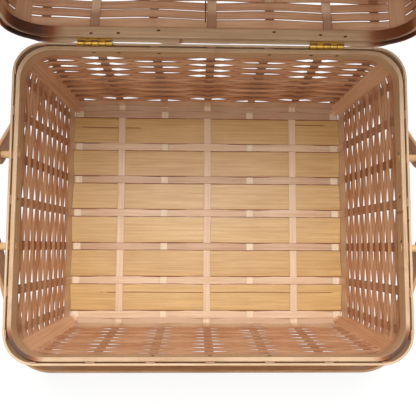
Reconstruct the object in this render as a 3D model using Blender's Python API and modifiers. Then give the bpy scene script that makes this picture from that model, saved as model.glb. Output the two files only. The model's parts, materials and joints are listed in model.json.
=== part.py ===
"""Rectangular woven pie basket with a hinged lid and two swing handles.

Lengths are metres. X runs along the basket, Y towards the hinged back, Z up from
the surface it stands on. The lid stands open and both handles hang down.
"""
import math

import bmesh
import bpy
from mathutils import Matrix, Vector

# Rim of the basket: two hoops with the wall's upright splints nailed between them
RIM_LENGTH = 0.400
RIM_DEPTH = 0.320
RIM_TOP = 0.162
RIM_CORNER_RADIUS = 0.032
HOOP_HEIGHT = 0.016
OUTER_HOOP_THICKNESS = 0.0024
INNER_HOOP_THICKNESS = 0.0045
INNER_HOOP_CORNER_RADIUS = 0.034
CORNER_SEGMENTS = 6

# Splints, which cross on the base and turn up as the wall's stakes
SPLINT_THICKNESS = 0.0009
SEAT_GAP = 0.0003
LONG_SPLINT_WIDTH = 0.0095
CROSS_SPLINT_WIDTH = 0.0093
BASE_LENGTH = 0.345
BASE_DEPTH = 0.281
BASE_CORNER_RADIUS = 0.014
SIDE_EDGE_GAP = 0.0009
FRONT_EDGE_GAP = 0.0063
SPLINT_END_TUCK = 0.002
PITCHES_A_SIDE = 3
# How much further apart the stakes are at the rim than at the base
STAKE_FAN_SHARE = 0.04

# Wide slats that fill the base between the long splints
SLAT_THICKNESS = 0.0012
SLAT_SIDE_GAP = 0.00075
SLAT_END_GAP = 0.0010

# Weavers that go round the wall
BAND_HEIGHT = 0.017
WEAVER_COUNT = 19
WEAVER_THICKNESS = 0.0009
WEAVER_BULGE = 0.0015
WALL_CORNER_SEGMENTS = 3

# Flat strips that run down inside the four corners
CORNER_STRIP_WIDTH = 0.017
CORNER_STRIP_FOOT = 0.010

# Dowel pegs that carry the handles
PEG_RADIUS = 0.00375
PEG_HEAD_RADIUS = 0.0058
PEG_HEAD_THICKNESS = 0.0025
PEG_PROUD_INSIDE = 0.0008
PEG_BELOW_RIM = 0.008
PEG_SPACING = 0.092
PEG_SEGMENTS = 16
PEG_SEAM_WELD = 0.0001

# Swing handles, each a bent strip
HANDLE_STANDOFF = 0.0095
HANDLE_THICKNESS = 0.004
HANDLE_DROP = 0.172
HANDLE_CORNER_RADIUS = 0.033
HANDLE_EYE_WIDTH = 0.020
HANDLE_GRIP_WIDTH = 0.027
HANDLE_END = 0.010
HANDLE_END_WIDTH = 0.011
HANDLE_TIP_SHARE = 2 / 3
# How far out from the foot of the wall the middle of each crossbar hangs
FRONT_HANDLE_OUT = 0.04011
REAR_HANDLE_OUT = 0.01947

# Butt hinges, whose leaves sit between the hoops
HINGE_LENGTH = 0.035
HINGE_SPACING = 0.235
HINGE_PIN_INSET = 0.0012
HINGE_PIN_RADIUS = 0.0011
KNUCKLE_RADIUS = 0.0024
KNUCKLE_COUNT = 5
KNUCKLE_SEGMENTS = 16
LEAF_THICKNESS = 0.0009
LEAF_DEPTH = 0.0095
TAB_RELIEF = 0.000045

# Lid, described as it lies when closed
LID_HOOP_HEIGHT = 0.014
LID_INNER_HOOP_HEIGHT = 0.0105
LID_HOOP_STEP = 0.0025
LID_CORNER_RADIUS = 0.036
LID_INNER_HOOP_CORNER_RADIUS = 0.036
LID_DEPTH = 0.055
LID_LEAN = 0.0055
LID_EDGE_RADIUS = 0.008
LID_EDGE_STEPS = 3
LID_OPEN_ANGLE = math.radians(90)
# The strips of the lid's wall, with open slits between them from stake to stake
LID_STRIP_PITCH = 0.0093
LID_SLIT_ROWS = 3
LID_SLIT_HEIGHT = 0.0012
LID_SLIT_END_GAP = 0.0035

# Colours, roughness and metallic value of each finish
FINISHES = {
    "hoop": ((0.62, 0.42, 0.25, 1.0), 0.55, 0.0),
    "splint": ((0.60, 0.38, 0.23, 1.0), 0.60, 0.0),
    "slat": ((0.55, 0.34, 0.12, 1.0), 0.50, 0.0),
    "weaver": ((0.42, 0.22, 0.10, 1.0), 0.60, 0.0),
    "handle": ((0.30, 0.16, 0.08, 1.0), 0.50, 0.0),
    "peg": ((0.66, 0.43, 0.22, 1.0), 0.50, 0.0),
    "brass": ((0.72, 0.45, 0.12, 1.0), 0.30, 1.0),
}

# Sizes worked out from the ones above
HOOP_SLOT = SPLINT_THICKNESS + 2 * SEAT_GAP
STAKE_INSET = OUTER_HOOP_THICKNESS + HOOP_SLOT / 2
HOOP_BOTTOM = RIM_TOP - HOOP_HEIGHT
SLAT_LEVEL = SEAT_GAP * 2 + SPLINT_THICKNESS * 2 + SLAT_THICKNESS / 2
NEAR_LEVEL = SLAT_THICKNESS / 2 + SEAT_GAP + SPLINT_THICKNESS / 2
FAR_LEVEL = NEAR_LEVEL + SPLINT_THICKNESS + SEAT_GAP
GROUND_LEVEL = SPLINT_THICKNESS / 2
BAND_BOTTOM = SLAT_LEVEL + NEAR_LEVEL + SPLINT_THICKNESS / 2 + SEAT_GAP
BAND_TOP = BAND_BOTTOM + BAND_HEIGHT
WEAVER_PITCH = (HOOP_BOTTOM - BAND_TOP) / WEAVER_COUNT
PARTING_GAP = 2 * (HINGE_PIN_INSET + SEAT_GAP)
LID_BOTTOM = RIM_TOP + PARTING_GAP
PIN_Y = RIM_DEPTH / 2 - HINGE_PIN_INSET
PIN_Z = RIM_TOP + PARTING_GAP / 2
PEG_Z = RIM_TOP - PEG_BELOW_RIM
SIDE_EDGE = BASE_LENGTH / 2 - SPLINT_THICKNESS / 2 - SIDE_EDGE_GAP - CROSS_SPLINT_WIDTH / 2
FRONT_EDGE = BASE_DEPTH / 2 - SPLINT_THICKNESS / 2 - FRONT_EDGE_GAP - LONG_SPLINT_WIDTH / 2
CROSS_PITCH = SIDE_EDGE / PITCHES_A_SIDE
LONG_PITCH = FRONT_EDGE / PITCHES_A_SIDE

# Each handle leans out so far that its crossbar clears the foot of the wall
FRONT_HANDLE_ANGLE = math.asin((BASE_DEPTH / 2 + FRONT_HANDLE_OUT - PEG_SPACING / 2) / HANDLE_DROP)
REAR_HANDLE_ANGLE = math.asin((BASE_DEPTH / 2 + REAR_HANDLE_OUT - PEG_SPACING / 2) / HANDLE_DROP)

# The rear reach of the lid and the front reach of the handle set the origin in Y
LID_REACH = PIN_Y + PARTING_GAP / 2 + LID_DEPTH + SPLINT_THICKNESS / 2
HANDLE_REACH = (
    PEG_SPACING / 2
    + (HANDLE_DROP + HANDLE_THICKNESS / 2) * math.sin(FRONT_HANDLE_ANGLE)
    + HANDLE_GRIP_WIDTH / 2 * math.cos(FRONT_HANDLE_ANGLE)
)
ORIGIN_SHIFT = (HANDLE_REACH - LID_REACH) / 2


def collection(name, parent):
    found = bpy.data.collections.new(name)
    parent.children.link(found)
    return found


def material(name):
    colour, roughness, metallic = FINISHES[name]
    made = bpy.data.materials.new(name)
    made.use_nodes = True
    shader = made.node_tree.nodes["Principled BSDF"]
    shader.inputs["Base Color"].default_value = colour
    shader.inputs["Roughness"].default_value = roughness
    shader.inputs["Metallic"].default_value = metallic
    made.diffuse_color = colour
    return made


def add_object(name, mesh, finish, parent=None):
    thing = bpy.data.objects.new(name, mesh)
    PARTS.objects.link(thing)
    if finish:
        mesh.materials.append(bpy.data.materials.get(finish) or material(finish))
    thing.parent = parent or MIDDLE
    return thing


def solidify(thing, thickness):
    shell = thing.modifiers.new("Thickness", "SOLIDIFY")
    shell.thickness = thickness
    shell.offset = 0
    shell.use_even_offset = True
    return thing


def ribbon(name, line, offsets, thickness, finish, closed=False, parent=None):
    """Sweep a line of points into a strip: each point moves by its own offset."""
    shape = bmesh.new()
    start = [shape.verts.new(point) for point in line]
    edges = [shape.edges.new(pair) for pair in zip(start, start[1:])]
    if closed:
        edges.append(shape.edges.new((start[-1], start[0])))
    swept = bmesh.ops.extrude_edge_only(shape, edges=edges)
    ends = {tuple(item.co): item for item in swept["geom"] if isinstance(item, bmesh.types.BMVert)}
    for vert, offset in zip(start, offsets):
        ends[tuple(vert.co)].co += Vector(offset)
    bmesh.ops.recalc_face_normals(shape, faces=shape.faces)
    mesh = bpy.data.meshes.new(name)
    shape.to_mesh(mesh)
    shape.free()
    return solidify(add_object(name, mesh, finish, parent), thickness)


def boxes(name, corners, finish, parent=None):
    """Boxes that don't touch each other, as one object, from pairs of their corners."""
    shape = bmesh.new()
    for low, high in corners:
        low = Vector(low)
        high = Vector(high)
        made = bmesh.ops.create_cube(shape, size=1)["verts"]
        bmesh.ops.scale(shape, vec=high - low, verts=made)
        bmesh.ops.translate(shape, vec=(low + high) / 2, verts=made)
    mesh = bpy.data.meshes.new(name)
    shape.to_mesh(mesh)
    shape.free()
    return add_object(name, mesh, finish, parent)


def box(name, low, high, finish, parent=None):
    return boxes(name, [(low, high)], finish, parent)


def rod(name, centre, radius, length, segments, finish, parent=None):
    """A cylinder along X."""
    shape = bmesh.new()
    bmesh.ops.create_cone(
        shape, cap_ends=True, segments=segments, radius1=radius, radius2=radius, depth=length,
        matrix=Matrix.Translation(centre) @ Matrix.Rotation(math.radians(90), 4, "Y"),
    )
    mesh = bpy.data.meshes.new(name)
    shape.to_mesh(mesh)
    shape.free()
    return add_object(name, mesh, finish, parent)


def cutter(thing):
    PARTS.objects.unlink(thing)
    CUTTERS.objects.link(thing)
    thing.hide_render = True
    thing.display_type = "WIRE"
    return thing


def cut(thing, tool):
    step = thing.modifiers.new("Cut", "BOOLEAN")
    step.operation = "DIFFERENCE"
    step.object = tool


def join(thing, tool):
    step = thing.modifiers.new("Join", "BOOLEAN")
    step.operation = "UNION"
    step.object = tool


def rounded_rectangle(half_x, half_y, radius, z, segments):
    """Points of a rounded rectangle, counter-clockwise from the right side."""
    points = []
    for corner in range(4):
        side_x = 1 if corner in (0, 3) else -1
        side_y = 1 if corner < 2 else -1
        for step in range(segments + 1):
            angle = math.pi / 2 * (corner + step / segments)
            points.append((
                side_x * (half_x - radius) + radius * math.cos(angle),
                side_y * (half_y - radius) + radius * math.sin(angle),
                z,
            ))
    return points


def hoop(name, outset, radius, thickness, low, high, parent=None):
    """A hoop whose outer face lies `outset` inside the rim's outer size."""
    half_x = RIM_LENGTH / 2 - outset - thickness / 2
    half_y = RIM_DEPTH / 2 - outset - thickness / 2
    line = rounded_rectangle(half_x, half_y, radius - thickness / 2, low, CORNER_SEGMENTS)
    lift = [(0, 0, high - low)] * len(line)
    return ribbon(name, line, lift, thickness, "hoop", closed=True, parent=parent)


def wall_share(z):
    """How far up the leaning part of the wall a height lies, 0 at the base and 1 at the hoops."""
    return min(max((z - GROUND_LEVEL) / (HOOP_BOTTOM - GROUND_LEVEL), 0), 1)


def wall_half_length(z):
    top = RIM_LENGTH / 2 - STAKE_INSET
    return BASE_LENGTH / 2 + (top - BASE_LENGTH / 2) * wall_share(z)


def wall_half_depth(z):
    top = RIM_DEPTH / 2 - STAKE_INSET
    return BASE_DEPTH / 2 + (top - BASE_DEPTH / 2) * wall_share(z)


def wall_radius(z):
    top = RIM_CORNER_RADIUS - STAKE_INSET
    return BASE_CORNER_RADIUS + (top - BASE_CORNER_RADIUS) * wall_share(z)


def fanned(place, z):
    """Stakes spread a little towards the rim."""
    return place * (1 + STAKE_FAN_SHARE * wall_share(z))


def is_over(index):
    """Even splints pass over the slats, odd ones under them."""
    return index % 2 == 0


def make_slats():
    half_length = BASE_LENGTH / 2 - SPLINT_THICKNESS / 2 - SLAT_END_GAP
    half_width = LONG_PITCH / 2 - LONG_SPLINT_WIDTH / 2 - SLAT_SIDE_GAP
    for number, index in enumerate(range(-PITCHES_A_SIDE, PITCHES_A_SIDE), 1):
        y = (index + 1 / 2) * LONG_PITCH
        box(
            f"base_slat_{number}",
            (-half_length, y - half_width, SLAT_LEVEL - SLAT_THICKNESS / 2),
            (half_length, y + half_width, SLAT_LEVEL + SLAT_THICKNESS / 2),
            "slat",
        )


def make_long_splints():
    """Splints along X, woven over and under the cross splints, then up the two ends."""
    flat = CROSS_SPLINT_WIDTH / 2 + SEAT_GAP
    for number, index in enumerate(range(-PITCHES_A_SIDE, PITCHES_A_SIDE + 1), 1):
        y = index * LONG_PITCH
        base = []
        for crossing in range(-PITCHES_A_SIDE, PITCHES_A_SIDE + 1):
            level = SLAT_LEVEL + (FAR_LEVEL if is_over(crossing) else -FAR_LEVEL)
            x = crossing * CROSS_PITCH
            base.append((x - flat, y, level))
            base.append((x + flat, y, level))
        if abs(index) == PITCHES_A_SIDE:
            line = base
        else:
            turn = (wall_half_length(GROUND_LEVEL), y, GROUND_LEVEL)
            hoop_foot = (wall_half_length(HOOP_BOTTOM), fanned(y, HOOP_BOTTOM), HOOP_BOTTOM)
            top = (hoop_foot[0], hoop_foot[1], RIM_TOP - SEAT_GAP)
            right = [turn, hoop_foot, top]
            left = [(-point[0], point[1], point[2]) for point in reversed(right)]
            line = left + base[1:-1] + right
        line = [(point[0], point[1] - LONG_SPLINT_WIDTH / 2, point[2]) for point in line]
        sweep = [(0, LONG_SPLINT_WIDTH, 0)] * len(line)
        ribbon(f"long_splint_{number}", line, sweep, SPLINT_THICKNESS, "splint")


def make_cross_splints():
    """Splints along Y, straight on the base, then up the front and the back."""
    leaf_low = RIM_TOP - LEAF_DEPTH - SEAT_GAP
    for number, index in enumerate(range(-PITCHES_A_SIDE, PITCHES_A_SIDE + 1), 1):
        x = index * CROSS_PITCH
        level = SLAT_LEVEL + (NEAR_LEVEL if is_over(index) else -NEAR_LEVEL)
        if abs(index) == PITCHES_A_SIDE:
            end = FRONT_EDGE + LONG_SPLINT_WIDTH / 2 + SPLINT_END_TUCK
            line = [(x, -end, level), (x, end, level)]
        else:
            rim_x = fanned(x, HOOP_BOTTOM)
            turn = (x, wall_half_depth(level), level)
            hoop_foot = (rim_x, wall_half_depth(HOOP_BOTTOM), HOOP_BOTTOM)
            meets_hinge = abs(abs(rim_x) - HINGE_SPACING / 2) < (HINGE_LENGTH + CROSS_SPLINT_WIDTH) / 2
            back_top = leaf_low - SEAT_GAP if meets_hinge else RIM_TOP - SEAT_GAP
            back = [turn, hoop_foot, (rim_x, hoop_foot[1], back_top)]
            front = [
                (rim_x, -hoop_foot[1], RIM_TOP - SEAT_GAP),
                (rim_x, -hoop_foot[1], HOOP_BOTTOM),
                (x, -turn[1], level),
            ]
            line = front + back
        line = [(point[0] - CROSS_SPLINT_WIDTH / 2, point[1], point[2]) for point in line]
        sweep = [(CROSS_SPLINT_WIDTH, 0, 0)] * len(line)
        ribbon(f"cross_splint_{number}", line, sweep, SPLINT_THICKNESS, "splint")


def weaver_line(z, inside_even):
    """One round of the wall at a height, in front of and behind the stakes by turns."""
    half_x = wall_half_length(z)
    half_y = wall_half_depth(z)
    radius = wall_radius(z) + WEAVER_BULGE
    corners = rounded_rectangle(
        half_x + WEAVER_BULGE, half_y + WEAVER_BULGE, radius, z, WALL_CORNER_SEGMENTS,
    )
    per_corner = WALL_CORNER_SEGMENTS + 1
    last = PITCHES_A_SIDE - 1
    line = []
    for corner in range(4):
        line += corners[corner * per_corner:(corner + 1) * per_corner]
        for step in range(-last, last + 1):
            inside = is_over(step) == inside_even
            bulge = -WEAVER_BULGE if inside else WEAVER_BULGE
            if corner in (0, 2):
                side = 1 if corner == 0 else -1
                line.append((-side * fanned(step * CROSS_PITCH, z), side * (half_y + bulge), z))
            else:
                side = -1 if corner == 1 else 1
                line.append((side * (half_x + bulge), side * fanned(step * LONG_PITCH, z), z))
    return line


def make_weaver(name, low, high, inside_even):
    line = weaver_line(low, inside_even)
    top = weaver_line(high, inside_even)
    sweep = [Vector(end) - Vector(start) for start, end in zip(line, top)]
    ribbon(name, line, sweep, WEAVER_THICKNESS, "weaver", closed=True)


def make_weavers():
    make_weaver("wide_bottom_band", BAND_BOTTOM, BAND_TOP - SEAT_GAP, False)
    for number in range(WEAVER_COUNT):
        low = BAND_TOP + number * WEAVER_PITCH
        make_weaver(
            f"wall_weaver_{number + 1}", low, low + WEAVER_PITCH - SEAT_GAP, is_over(number),
        )


def corner_seat(half_x, half_y, radius, segments):
    """Where a flat strip touches the inside of a round corner, measured from the middle."""
    reach = radius * math.cos(math.pi / 4 / segments) - SEAT_GAP
    along = math.sqrt(reach ** 2 - (CORNER_STRIP_WIDTH / 2) ** 2) - SPLINT_THICKNESS / 2
    return Vector((half_x - radius, half_y - radius, 0)), along


def wall_seat(z):
    """The corner seat inside the woven wall at one level."""
    bulge = WEAVER_BULGE - WEAVER_THICKNESS / 2
    return corner_seat(
        wall_half_length(z) + bulge, wall_half_depth(z) + bulge, wall_radius(z) + bulge,
        WALL_CORNER_SEGMENTS,
    )


def make_corner_strips():
    """Flat strips up the inside of the corners, from a short foot to just under the inner hoop."""
    foot_level = SLAT_LEVEL + SLAT_THICKNESS / 2 + SEAT_GAP + SPLINT_THICKNESS / 2
    base_centre, base_along = wall_seat(BAND_BOTTOM)
    rim_centre, rim_along = wall_seat(HOOP_BOTTOM)
    corners = ((1, 1, "back_right"), (-1, 1, "back_left"), (-1, -1, "front_left"), (1, -1, "front_right"))
    for side_x, side_y, place in corners:
        flip = Vector((side_x, side_y, 1))
        out = Vector((side_x, side_y, 0)).normalized()
        across = Vector((-side_y, side_x, 0)).normalized() * CORNER_STRIP_WIDTH
        bend = base_centre * flip + out * base_along + Vector((0, 0, foot_level))
        toe = bend - out * CORNER_STRIP_FOOT
        top = rim_centre * flip + out * rim_along + Vector((0, 0, HOOP_BOTTOM - SEAT_GAP))
        line = [point - across / 2 for point in (toe, bend, top)]
        ribbon(f"corner_strip_{place}", line, [across] * len(line), SPLINT_THICKNESS, "splint")


def peg_places():
    for side, side_name in ((-1, "left"), (1, "right")):
        for end, end_name in ((-1, "front"), (1, "rear")):
            yield side, end * PEG_SPACING / 2, f"{end_name}_{side_name}"


def make_pegs():
    """Turned dowels: a shaft through both hoops with a head outside the handle's leg."""
    inner = RIM_LENGTH / 2 - OUTER_HOOP_THICKNESS - HOOP_SLOT - INNER_HOOP_THICKNESS - PEG_PROUD_INSIDE
    neck = RIM_LENGTH / 2 + HANDLE_STANDOFF + HANDLE_THICKNESS + SEAT_GAP
    end = neck + PEG_HEAD_THICKNESS
    crown = PEG_HEAD_RADIUS - PEG_HEAD_THICKNESS / 2
    profile = [
        (0, end), (crown, end), (PEG_HEAD_RADIUS, (neck + end) / 2), (PEG_HEAD_RADIUS, neck),
        (PEG_RADIUS, neck), (PEG_RADIUS, inner), (0, inner),
    ]
    for side, y, place in peg_places():
        mesh = bpy.data.meshes.new(f"peg_{place}")
        points = [(radius, 0, x) for radius, x in profile]
        mesh.from_pydata(points, [(n, n + 1) for n in range(len(points) - 1)], [])
        peg = add_object(f"peg_{place}", mesh, "peg")
        turned = peg.modifiers.new("Turned", "SCREW")
        turned.steps = PEG_SEGMENTS
        turned.render_steps = PEG_SEGMENTS
        turned.use_merge_vertices = True
        turned.merge_threshold = PEG_SEAM_WELD
        peg.location = (0, y, PEG_Z)
        peg.rotation_euler = (0, math.radians(90) * side, 0)


def make_hoops():
    outer = hoop("outer_hoop", 0, RIM_CORNER_RADIUS, OUTER_HOOP_THICKNESS, HOOP_BOTTOM, RIM_TOP)
    inner = hoop(
        "inner_hoop", OUTER_HOOP_THICKNESS + HOOP_SLOT, INNER_HOOP_CORNER_RADIUS,
        INNER_HOOP_THICKNESS, HOOP_BOTTOM, RIM_TOP,
    )
    drilled = [outer, inner]
    drilled += [thing for thing in PARTS.objects if thing.name.startswith("long_splint_")]
    length = RIM_LENGTH + HANDLE_STANDOFF
    for end in (-1, 1):
        drill = cutter(rod(
            "peg_drill", (0, end * PEG_SPACING / 2, PEG_Z),
            PEG_RADIUS + SEAT_GAP, length, PEG_SEGMENTS, None,
        ))
        for thing in drilled:
            if thing in (outer, inner) or meets_peg(thing, end * PEG_SPACING / 2):
                cut(thing, drill)
    for place in (-1, 1):
        cut(outer, knuckle_relief(place, MIDDLE))


def meets_peg(thing, y):
    """Whether a long splint's upright runs through a peg's hole."""
    number = int(thing.name.rsplit("_", 1)[1])
    index = number - 1 - PITCHES_A_SIDE
    rim_y = fanned(index * LONG_PITCH, HOOP_BOTTOM)
    reach = LONG_SPLINT_WIDTH / 2 + PEG_RADIUS + SEAT_GAP
    return abs(index) < PITCHES_A_SIDE and abs(rim_y - y) < reach


def knuckle_relief(place, parent):
    """The hollow that clears a hinge's knuckles."""
    centre = (place * HINGE_SPACING / 2, PIN_Y, PIN_Z)
    length = HINGE_LENGTH + 2 * SEAT_GAP
    return cutter(rod(
        "knuckle_relief", centre, KNUCKLE_RADIUS + SEAT_GAP, length, KNUCKLE_SEGMENTS, None, parent,
    ))


def make_handle(name, pivot_y, angle):
    """A bent strip whose legs hang from two pegs, drawn straight down from its pivot."""
    pivot = bpy.data.objects.new(f"{name}_pivot", None)
    PARTS.objects.link(pivot)
    pivot.parent = MIDDLE
    pivot.location = (0, pivot_y, PEG_Z)
    pivot.rotation_euler = (angle, 0, 0)
    leg_x = RIM_LENGTH / 2 + HANDLE_STANDOFF + HANDLE_THICKNESS / 2
    straight = HANDLE_DROP - HANDLE_CORNER_RADIUS
    eye = HANDLE_EYE_WIDTH / 2
    grip = HANDLE_GRIP_WIDTH / 2
    tip = HANDLE_END_WIDTH / 2
    half = [
        (leg_x, HANDLE_END, tip),
        (leg_x, HANDLE_END / 2, tip + (eye - tip) * HANDLE_TIP_SHARE),
        (leg_x, 0, eye),
        (leg_x, -straight, grip),
    ]
    for step in range(1, CORNER_SEGMENTS + 1):
        turn = math.pi / 2 * step / CORNER_SEGMENTS
        half.append((
            leg_x - HANDLE_CORNER_RADIUS * (1 - math.cos(turn)),
            -straight - HANDLE_CORNER_RADIUS * math.sin(turn),
            grip,
        ))
    path = half + [(-x, z, width) for x, z, width in reversed(half)]
    line = [(x, -width, z) for x, z, width in path]
    sweep = [(0, 2 * width, 0) for x, z, width in path]
    bail = ribbon(name, line, sweep, HANDLE_THICKNESS, "handle", parent=pivot)
    eye_drill = cutter(rod(
        f"{name}_eye_drill", (0, 0, 0), PEG_RADIUS + SEAT_GAP,
        2 * (leg_x + HANDLE_THICKNESS), PEG_SEGMENTS, None, pivot,
    ))
    cut(bail, eye_drill)


def make_hinge_leaf(name, place, lid_side, parent):
    """A leaf with its own knuckles; the basket's leaf holds the pin as well."""
    centre_x = place * HINGE_SPACING / 2
    start = centre_x - HINGE_LENGTH / 2
    pitch = HINGE_LENGTH / KNUCKLE_COUNT
    y_mid = RIM_DEPTH / 2 - STAKE_INSET
    y_low = y_mid - LEAF_THICKNESS / 2
    y_high = y_mid + LEAF_THICKNESS / 2
    relief = KNUCKLE_RADIUS + SEAT_GAP
    way = 1 if lid_side else -1
    far = PIN_Z + way * (PARTING_GAP / 2 + LEAF_DEPTH)
    near = PIN_Z + way * relief
    leaf = box(
        name, (start, y_low, min(far, near)), (start + HINGE_LENGTH, y_high, max(far, near)),
        "brass", parent,
    )
    own = [n for n in range(KNUCKLE_COUNT) if is_over(n) != lid_side]
    overlap = LEAF_THICKNESS / 2
    for number in own:
        low_x = start + number * pitch + SEAT_GAP / 2
        high_x = start + (number + 1) * pitch - SEAT_GAP / 2
        inner = near + way * overlap
        tab = box(
            f"{name}_tab", (low_x, y_low + TAB_RELIEF, min(inner, PIN_Z)),
            (high_x, y_high, max(inner, PIN_Z)), None, parent,
        )
        join(leaf, cutter(tab))
        barrel = rod(
            f"{name}_barrel", ((low_x + high_x) / 2, PIN_Y, PIN_Z),
            KNUCKLE_RADIUS, high_x - low_x, KNUCKLE_SEGMENTS, None, parent,
        )
        join(leaf, cutter(barrel))
    if lid_side:
        bore = rod(
            f"{name}_bore", (centre_x, PIN_Y, PIN_Z), HINGE_PIN_RADIUS + SEAT_GAP,
            HINGE_LENGTH, KNUCKLE_SEGMENTS, None, parent,
        )
        cut(leaf, cutter(bore))
    else:
        pin = rod(
            f"{name}_pin", (centre_x, PIN_Y, PIN_Z), HINGE_PIN_RADIUS,
            HINGE_LENGTH - pitch, KNUCKLE_SEGMENTS, None, parent,
        )
        join(leaf, cutter(pin))
    return leaf


def make_lid():
    """The lid, built as closed and then turned open about the hinge pins."""
    hinge = bpy.data.objects.new("lid_hinge_axis", None)
    PARTS.objects.link(hinge)
    hinge.parent = MIDDLE
    hinge.location = (0, PIN_Y, PIN_Z)
    hinge.rotation_euler = (-LID_OPEN_ANGLE, 0, 0)
    frame = bpy.data.objects.new("lid_frame", None)
    PARTS.objects.link(frame)
    frame.parent = hinge
    frame.location = (0, -PIN_Y, -PIN_Z)
    outer = hoop(
        "lid_outer_hoop", 0, LID_CORNER_RADIUS, OUTER_HOOP_THICKNESS,
        LID_BOTTOM, LID_BOTTOM + LID_HOOP_HEIGHT, frame,
    )
    inner_low = LID_BOTTOM + LID_HOOP_STEP
    hoop(
        "lid_inner_hoop", OUTER_HOOP_THICKNESS + HOOP_SLOT, LID_INNER_HOOP_CORNER_RADIUS,
        INNER_HOOP_THICKNESS, inner_low, inner_low + LID_INNER_HOOP_HEIGHT, frame,
    )
    weave = make_lid_weave(inner_low, frame)
    for place in (-1, 1):
        cut(outer, knuckle_relief(place, frame))
        centre_x = place * HINGE_SPACING / 2
        reach = HINGE_LENGTH / 2 + SEAT_GAP
        y_mid = RIM_DEPTH / 2 - STAKE_INSET
        notch = box(
            "leaf_notch",
            (centre_x - reach, y_mid - HOOP_SLOT, RIM_TOP),
            (centre_x + reach, y_mid + HOOP_SLOT, LID_BOTTOM + LEAF_DEPTH + SEAT_GAP),
            None, frame,
        )
        cut(weave, cutter(notch))
    for tool in lid_slits(inner_low + LID_INNER_HOOP_HEIGHT, frame):
        cut(weave, cutter(tool))
    return frame


def lid_slits(low, parent):
    """Slits between the strips of the lid's wall, cut through from one wall to the other."""
    spans = [step + 1 / 2 for step in range(-PITCHES_A_SIDE, PITCHES_A_SIDE)]
    along = {"crosswise": [], "lengthwise": []}
    for row in range(1, LID_SLIT_ROWS + 1):
        level = low + row * LID_STRIP_PITCH
        z = (level - LID_SLIT_HEIGHT / 2, level + LID_SLIT_HEIGHT / 2)
        for span in spans:
            for way, pitch, width, reach in (
                ("crosswise", CROSS_PITCH, CROSS_SPLINT_WIDTH, RIM_DEPTH / 2),
                ("lengthwise", LONG_PITCH, LONG_SPLINT_WIDTH, RIM_LENGTH / 2),
            ):
                middle = fanned(span * pitch, HOOP_BOTTOM)
                half = fanned(pitch, HOOP_BOTTOM) / 2 - width / 2 - LID_SLIT_END_GAP
                if way == "crosswise":
                    corners = ((middle - half, -reach, z[0]), (middle + half, reach, z[1]))
                else:
                    corners = ((-reach, middle - half, z[0]), (reach, middle + half, z[1]))
                along[way].append(corners)
    return [boxes(f"{way}_slits", corners, None, parent) for way, corners in along.items()]


def make_lid_weave(low, parent):
    """The lid's woven skin: walls that lean in, a rounded edge and a flat top."""
    radius = LID_CORNER_RADIUS - STAKE_INSET
    top = LID_BOTTOM + LID_DEPTH
    hoop_top = LID_BOTTOM + LID_HOOP_HEIGHT + SEAT_GAP
    levels = [(low, 0), (hoop_top, 0)]
    for step in range(LID_EDGE_STEPS + 1):
        turn = math.pi / 2 * step / LID_EDGE_STEPS
        levels.append((
            top - LID_EDGE_RADIUS * (1 - math.sin(turn)),
            LID_LEAN + LID_EDGE_RADIUS * (1 - math.cos(turn)),
        ))
    shape = bmesh.new()
    rings = []
    for z, inset in levels:
        points = rounded_rectangle(
            RIM_LENGTH / 2 - STAKE_INSET - inset, RIM_DEPTH / 2 - STAKE_INSET - inset,
            radius - inset, z, CORNER_SEGMENTS,
        )
        rings.append([shape.verts.new(point) for point in points])
    edges = []
    for ring in rings:
        edges += [shape.edges.new((ring[n - 1], ring[n])) for n in range(len(ring))]
    bmesh.ops.bridge_loops(shape, edges=edges)
    shape.faces.new(rings[-1])
    bmesh.ops.recalc_face_normals(shape, faces=shape.faces)
    mesh = bpy.data.meshes.new("lid_weave")
    shape.to_mesh(mesh)
    shape.free()
    return solidify(add_object("lid_weave", mesh, "weaver", parent), SPLINT_THICKNESS)


for old in list(bpy.data.objects):
    bpy.data.objects.remove(old)

PARTS = collection("pie_basket", bpy.context.scene.collection)
CUTTERS = collection("pie_basket_cutters", bpy.context.scene.collection)
MIDDLE = bpy.data.objects.new("basket_middle", None)
PARTS.objects.link(MIDDLE)
MIDDLE.location = (0, ORIGIN_SHIFT, 0)

make_slats()
make_long_splints()
make_cross_splints()
make_weavers()
make_corner_strips()
make_hoops()
make_pegs()
make_handle("front_handle", -PEG_SPACING / 2, -FRONT_HANDLE_ANGLE)
make_handle("rear_handle", PEG_SPACING / 2, REAR_HANDLE_ANGLE)
LID_FRAME = make_lid()
for side, side_name in ((-1, "left"), (1, "right")):
    make_hinge_leaf(f"hinge_basket_leaf_{side_name}", side, False, MIDDLE)
    make_hinge_leaf(f"hinge_lid_leaf_{side_name}", side, True, LID_FRAME)
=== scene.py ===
"""Woven pie basket with a hinged lid and two swing handles, dressed for rendering.

Lengths are metres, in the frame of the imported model: X along the basket, Y towards the
hinged back, Z up from the floor.
"""
import json
import math

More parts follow.
